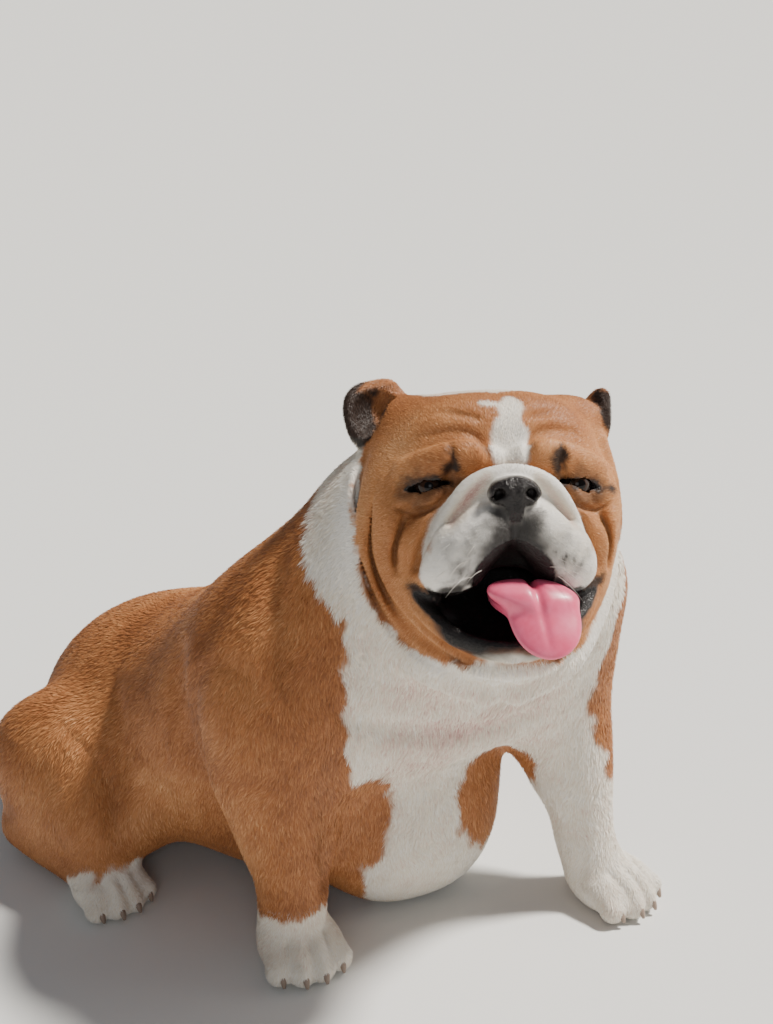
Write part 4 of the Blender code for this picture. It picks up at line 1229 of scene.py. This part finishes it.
# Claws: blunt cones bent down to the floor from the front of each toe
def makeClaws():
    along = np.linspace(0, 1, 7)
    paths = []
    for foot in dog["feet"]:
        for across, ahead in toes:
            path = np.stack([across + 0 * along, -ahead - 0.0085 - claws["length"] * along * 0.6,
                             0.0125 - 0.007 * along**1.6, claws["thick"] * (1 - 0.6 * along**2)], axis=1)
            paths.append(np.hstack([footFrame(*foot).at(path[:, :3]), path[:, 3:]]))
    nails = tubes("claws", paths, 10)
    look = Nodes("claw")
    nails.data.materials.append(look.shaded({"Base Color": claws["colour"], "Roughness": 0.35}))
    return nails


# The camera stands where the photograph was taken from: over the dog's right foreleg, looking down a little
camera = {
    "place": (-0.855, -0.75, 0.815),
    "azimuth": -52.0,
    "down": 22.0,
    "lens": 50.98,
}


def placeCamera():
    data = bpy.data.cameras.new("camera")
    data.sensor_width = 36.0
    data.lens = camera["lens"]
    data.clip_start = 0.01
    around, down = math.radians(camera["azimuth"]), math.radians(camera["down"])
    aim = Vector((-math.sin(around) * math.cos(down), math.cos(around) * math.cos(down), -math.sin(down)))
    item = placed("camera", data)
    item.location = Vector(camera["place"]) + Vector(shift)
    item.rotation_euler = aim.to_track_quat("-Z", "Y").to_euler()
    bpy.context.scene.camera = item


# The sun from above, ahead and to the dog's left, with a wide fill from the camera's side and one across
light = {
    "sun": dict(kind="SUN", place=(1.2, -0.9, 2.5), power=6.2, size=0.14, colour=(1.0, 0.95, 0.88)),
    "front": dict(kind="AREA", place=(-2.4, -2.0, 1.6), power=12.0, size=1.4, colour=(0.97, 0.98, 1.0)),
    "side": dict(kind="AREA", place=(1.8, -1.8, 1.0), power=8.0, size=1.2, colour=(1.0, 0.98, 0.95)),
}
lampTarget = (0, 0, 0.2)  # where all three point
surroundings = {
    "sky": ((0.88, 0.93, 1.0, 1.0), 0.2),       # colour and strength of the light on the dog
    "beyond": ((0.86, 0.86, 0.84, 1.0), 0.9),   # what the camera sees beyond the floor
    "floor": (0.8, 0.8, 0.78, 1.0),
}


def placeLights():
    for name, lamp in light.items():
        data = bpy.data.lights.new(name, lamp["kind"])
        data.energy = lamp["power"]
        data.color = lamp["colour"]
        if lamp["kind"] == "SUN":
            data.angle = lamp["size"]
        else:
            data.size = lamp["size"]
        item = placed(name, data)
        item.location = lamp["place"]
        item.rotation_euler = (Vector(lampTarget) - Vector(lamp["place"])).to_track_quat("-Z", "Y").to_euler()
    room = bpy.data.worlds.new("room")
    bpy.context.scene.world = room
    room.use_nodes = True
    nodes, links = room.node_tree.nodes, room.node_tree.links
    mixed = nodes.new("ShaderNodeMixShader")
    links.new(nodes.new("ShaderNodeLightPath").outputs["Is Camera Ray"], mixed.inputs[0])
    shaders = (nodes["Background"], nodes.new("ShaderNodeBackground"))
    for i, (shader, key) in enumerate(zip(shaders, ("sky", "beyond"))):
        shader.inputs["Color"].default_value, shader.inputs["Strength"].default_value = surroundings[key]
        links.new(shader.outputs[0], mixed.inputs[i + 1])
    links.new(mixed.outputs[0], nodes["World Output"].inputs["Surface"])


def placeFloor():
    reach, below = 40.0, 0.0002
    corners = np.array([(-reach, -reach, 0), (reach, -reach, 0), (reach, reach, 0), (-reach, reach, 0)])
    floor = meshOf("floor", corners - (0, 0, below), np.array([[0, 1, 2, 3]]))
    look = Nodes("paleFloor")
    floor.data.materials.append(look.shaded({"Base Color": surroundings["floor"], "Roughness": 0.9}))


placeCamera()
placeLights()
placeFloor()
print("camera, lights and floor placed")
skin = makeSkin()
skin.data.materials.append(skinLook())
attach(skin, "root")
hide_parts(*[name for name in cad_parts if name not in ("tongue", "eye_left", "eye_right")])
tuftLook = coatLook()
for piece in makeCoat(skin):
    piece.data.materials.append(tuftLook)
    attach(piece, "root")
tongue = makeTongue()
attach(tongue, "root")
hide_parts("tongue")
for side, word in ((1, "left"), (-1, "right")):
    eye = makeEye(side, word)
    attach(eye, "root")
    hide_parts("eye_" + word)
for piece in (makeWhiskers(), makeClaws()):
    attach(piece, "root")
print("tongue, eyes, whiskers and claws made")
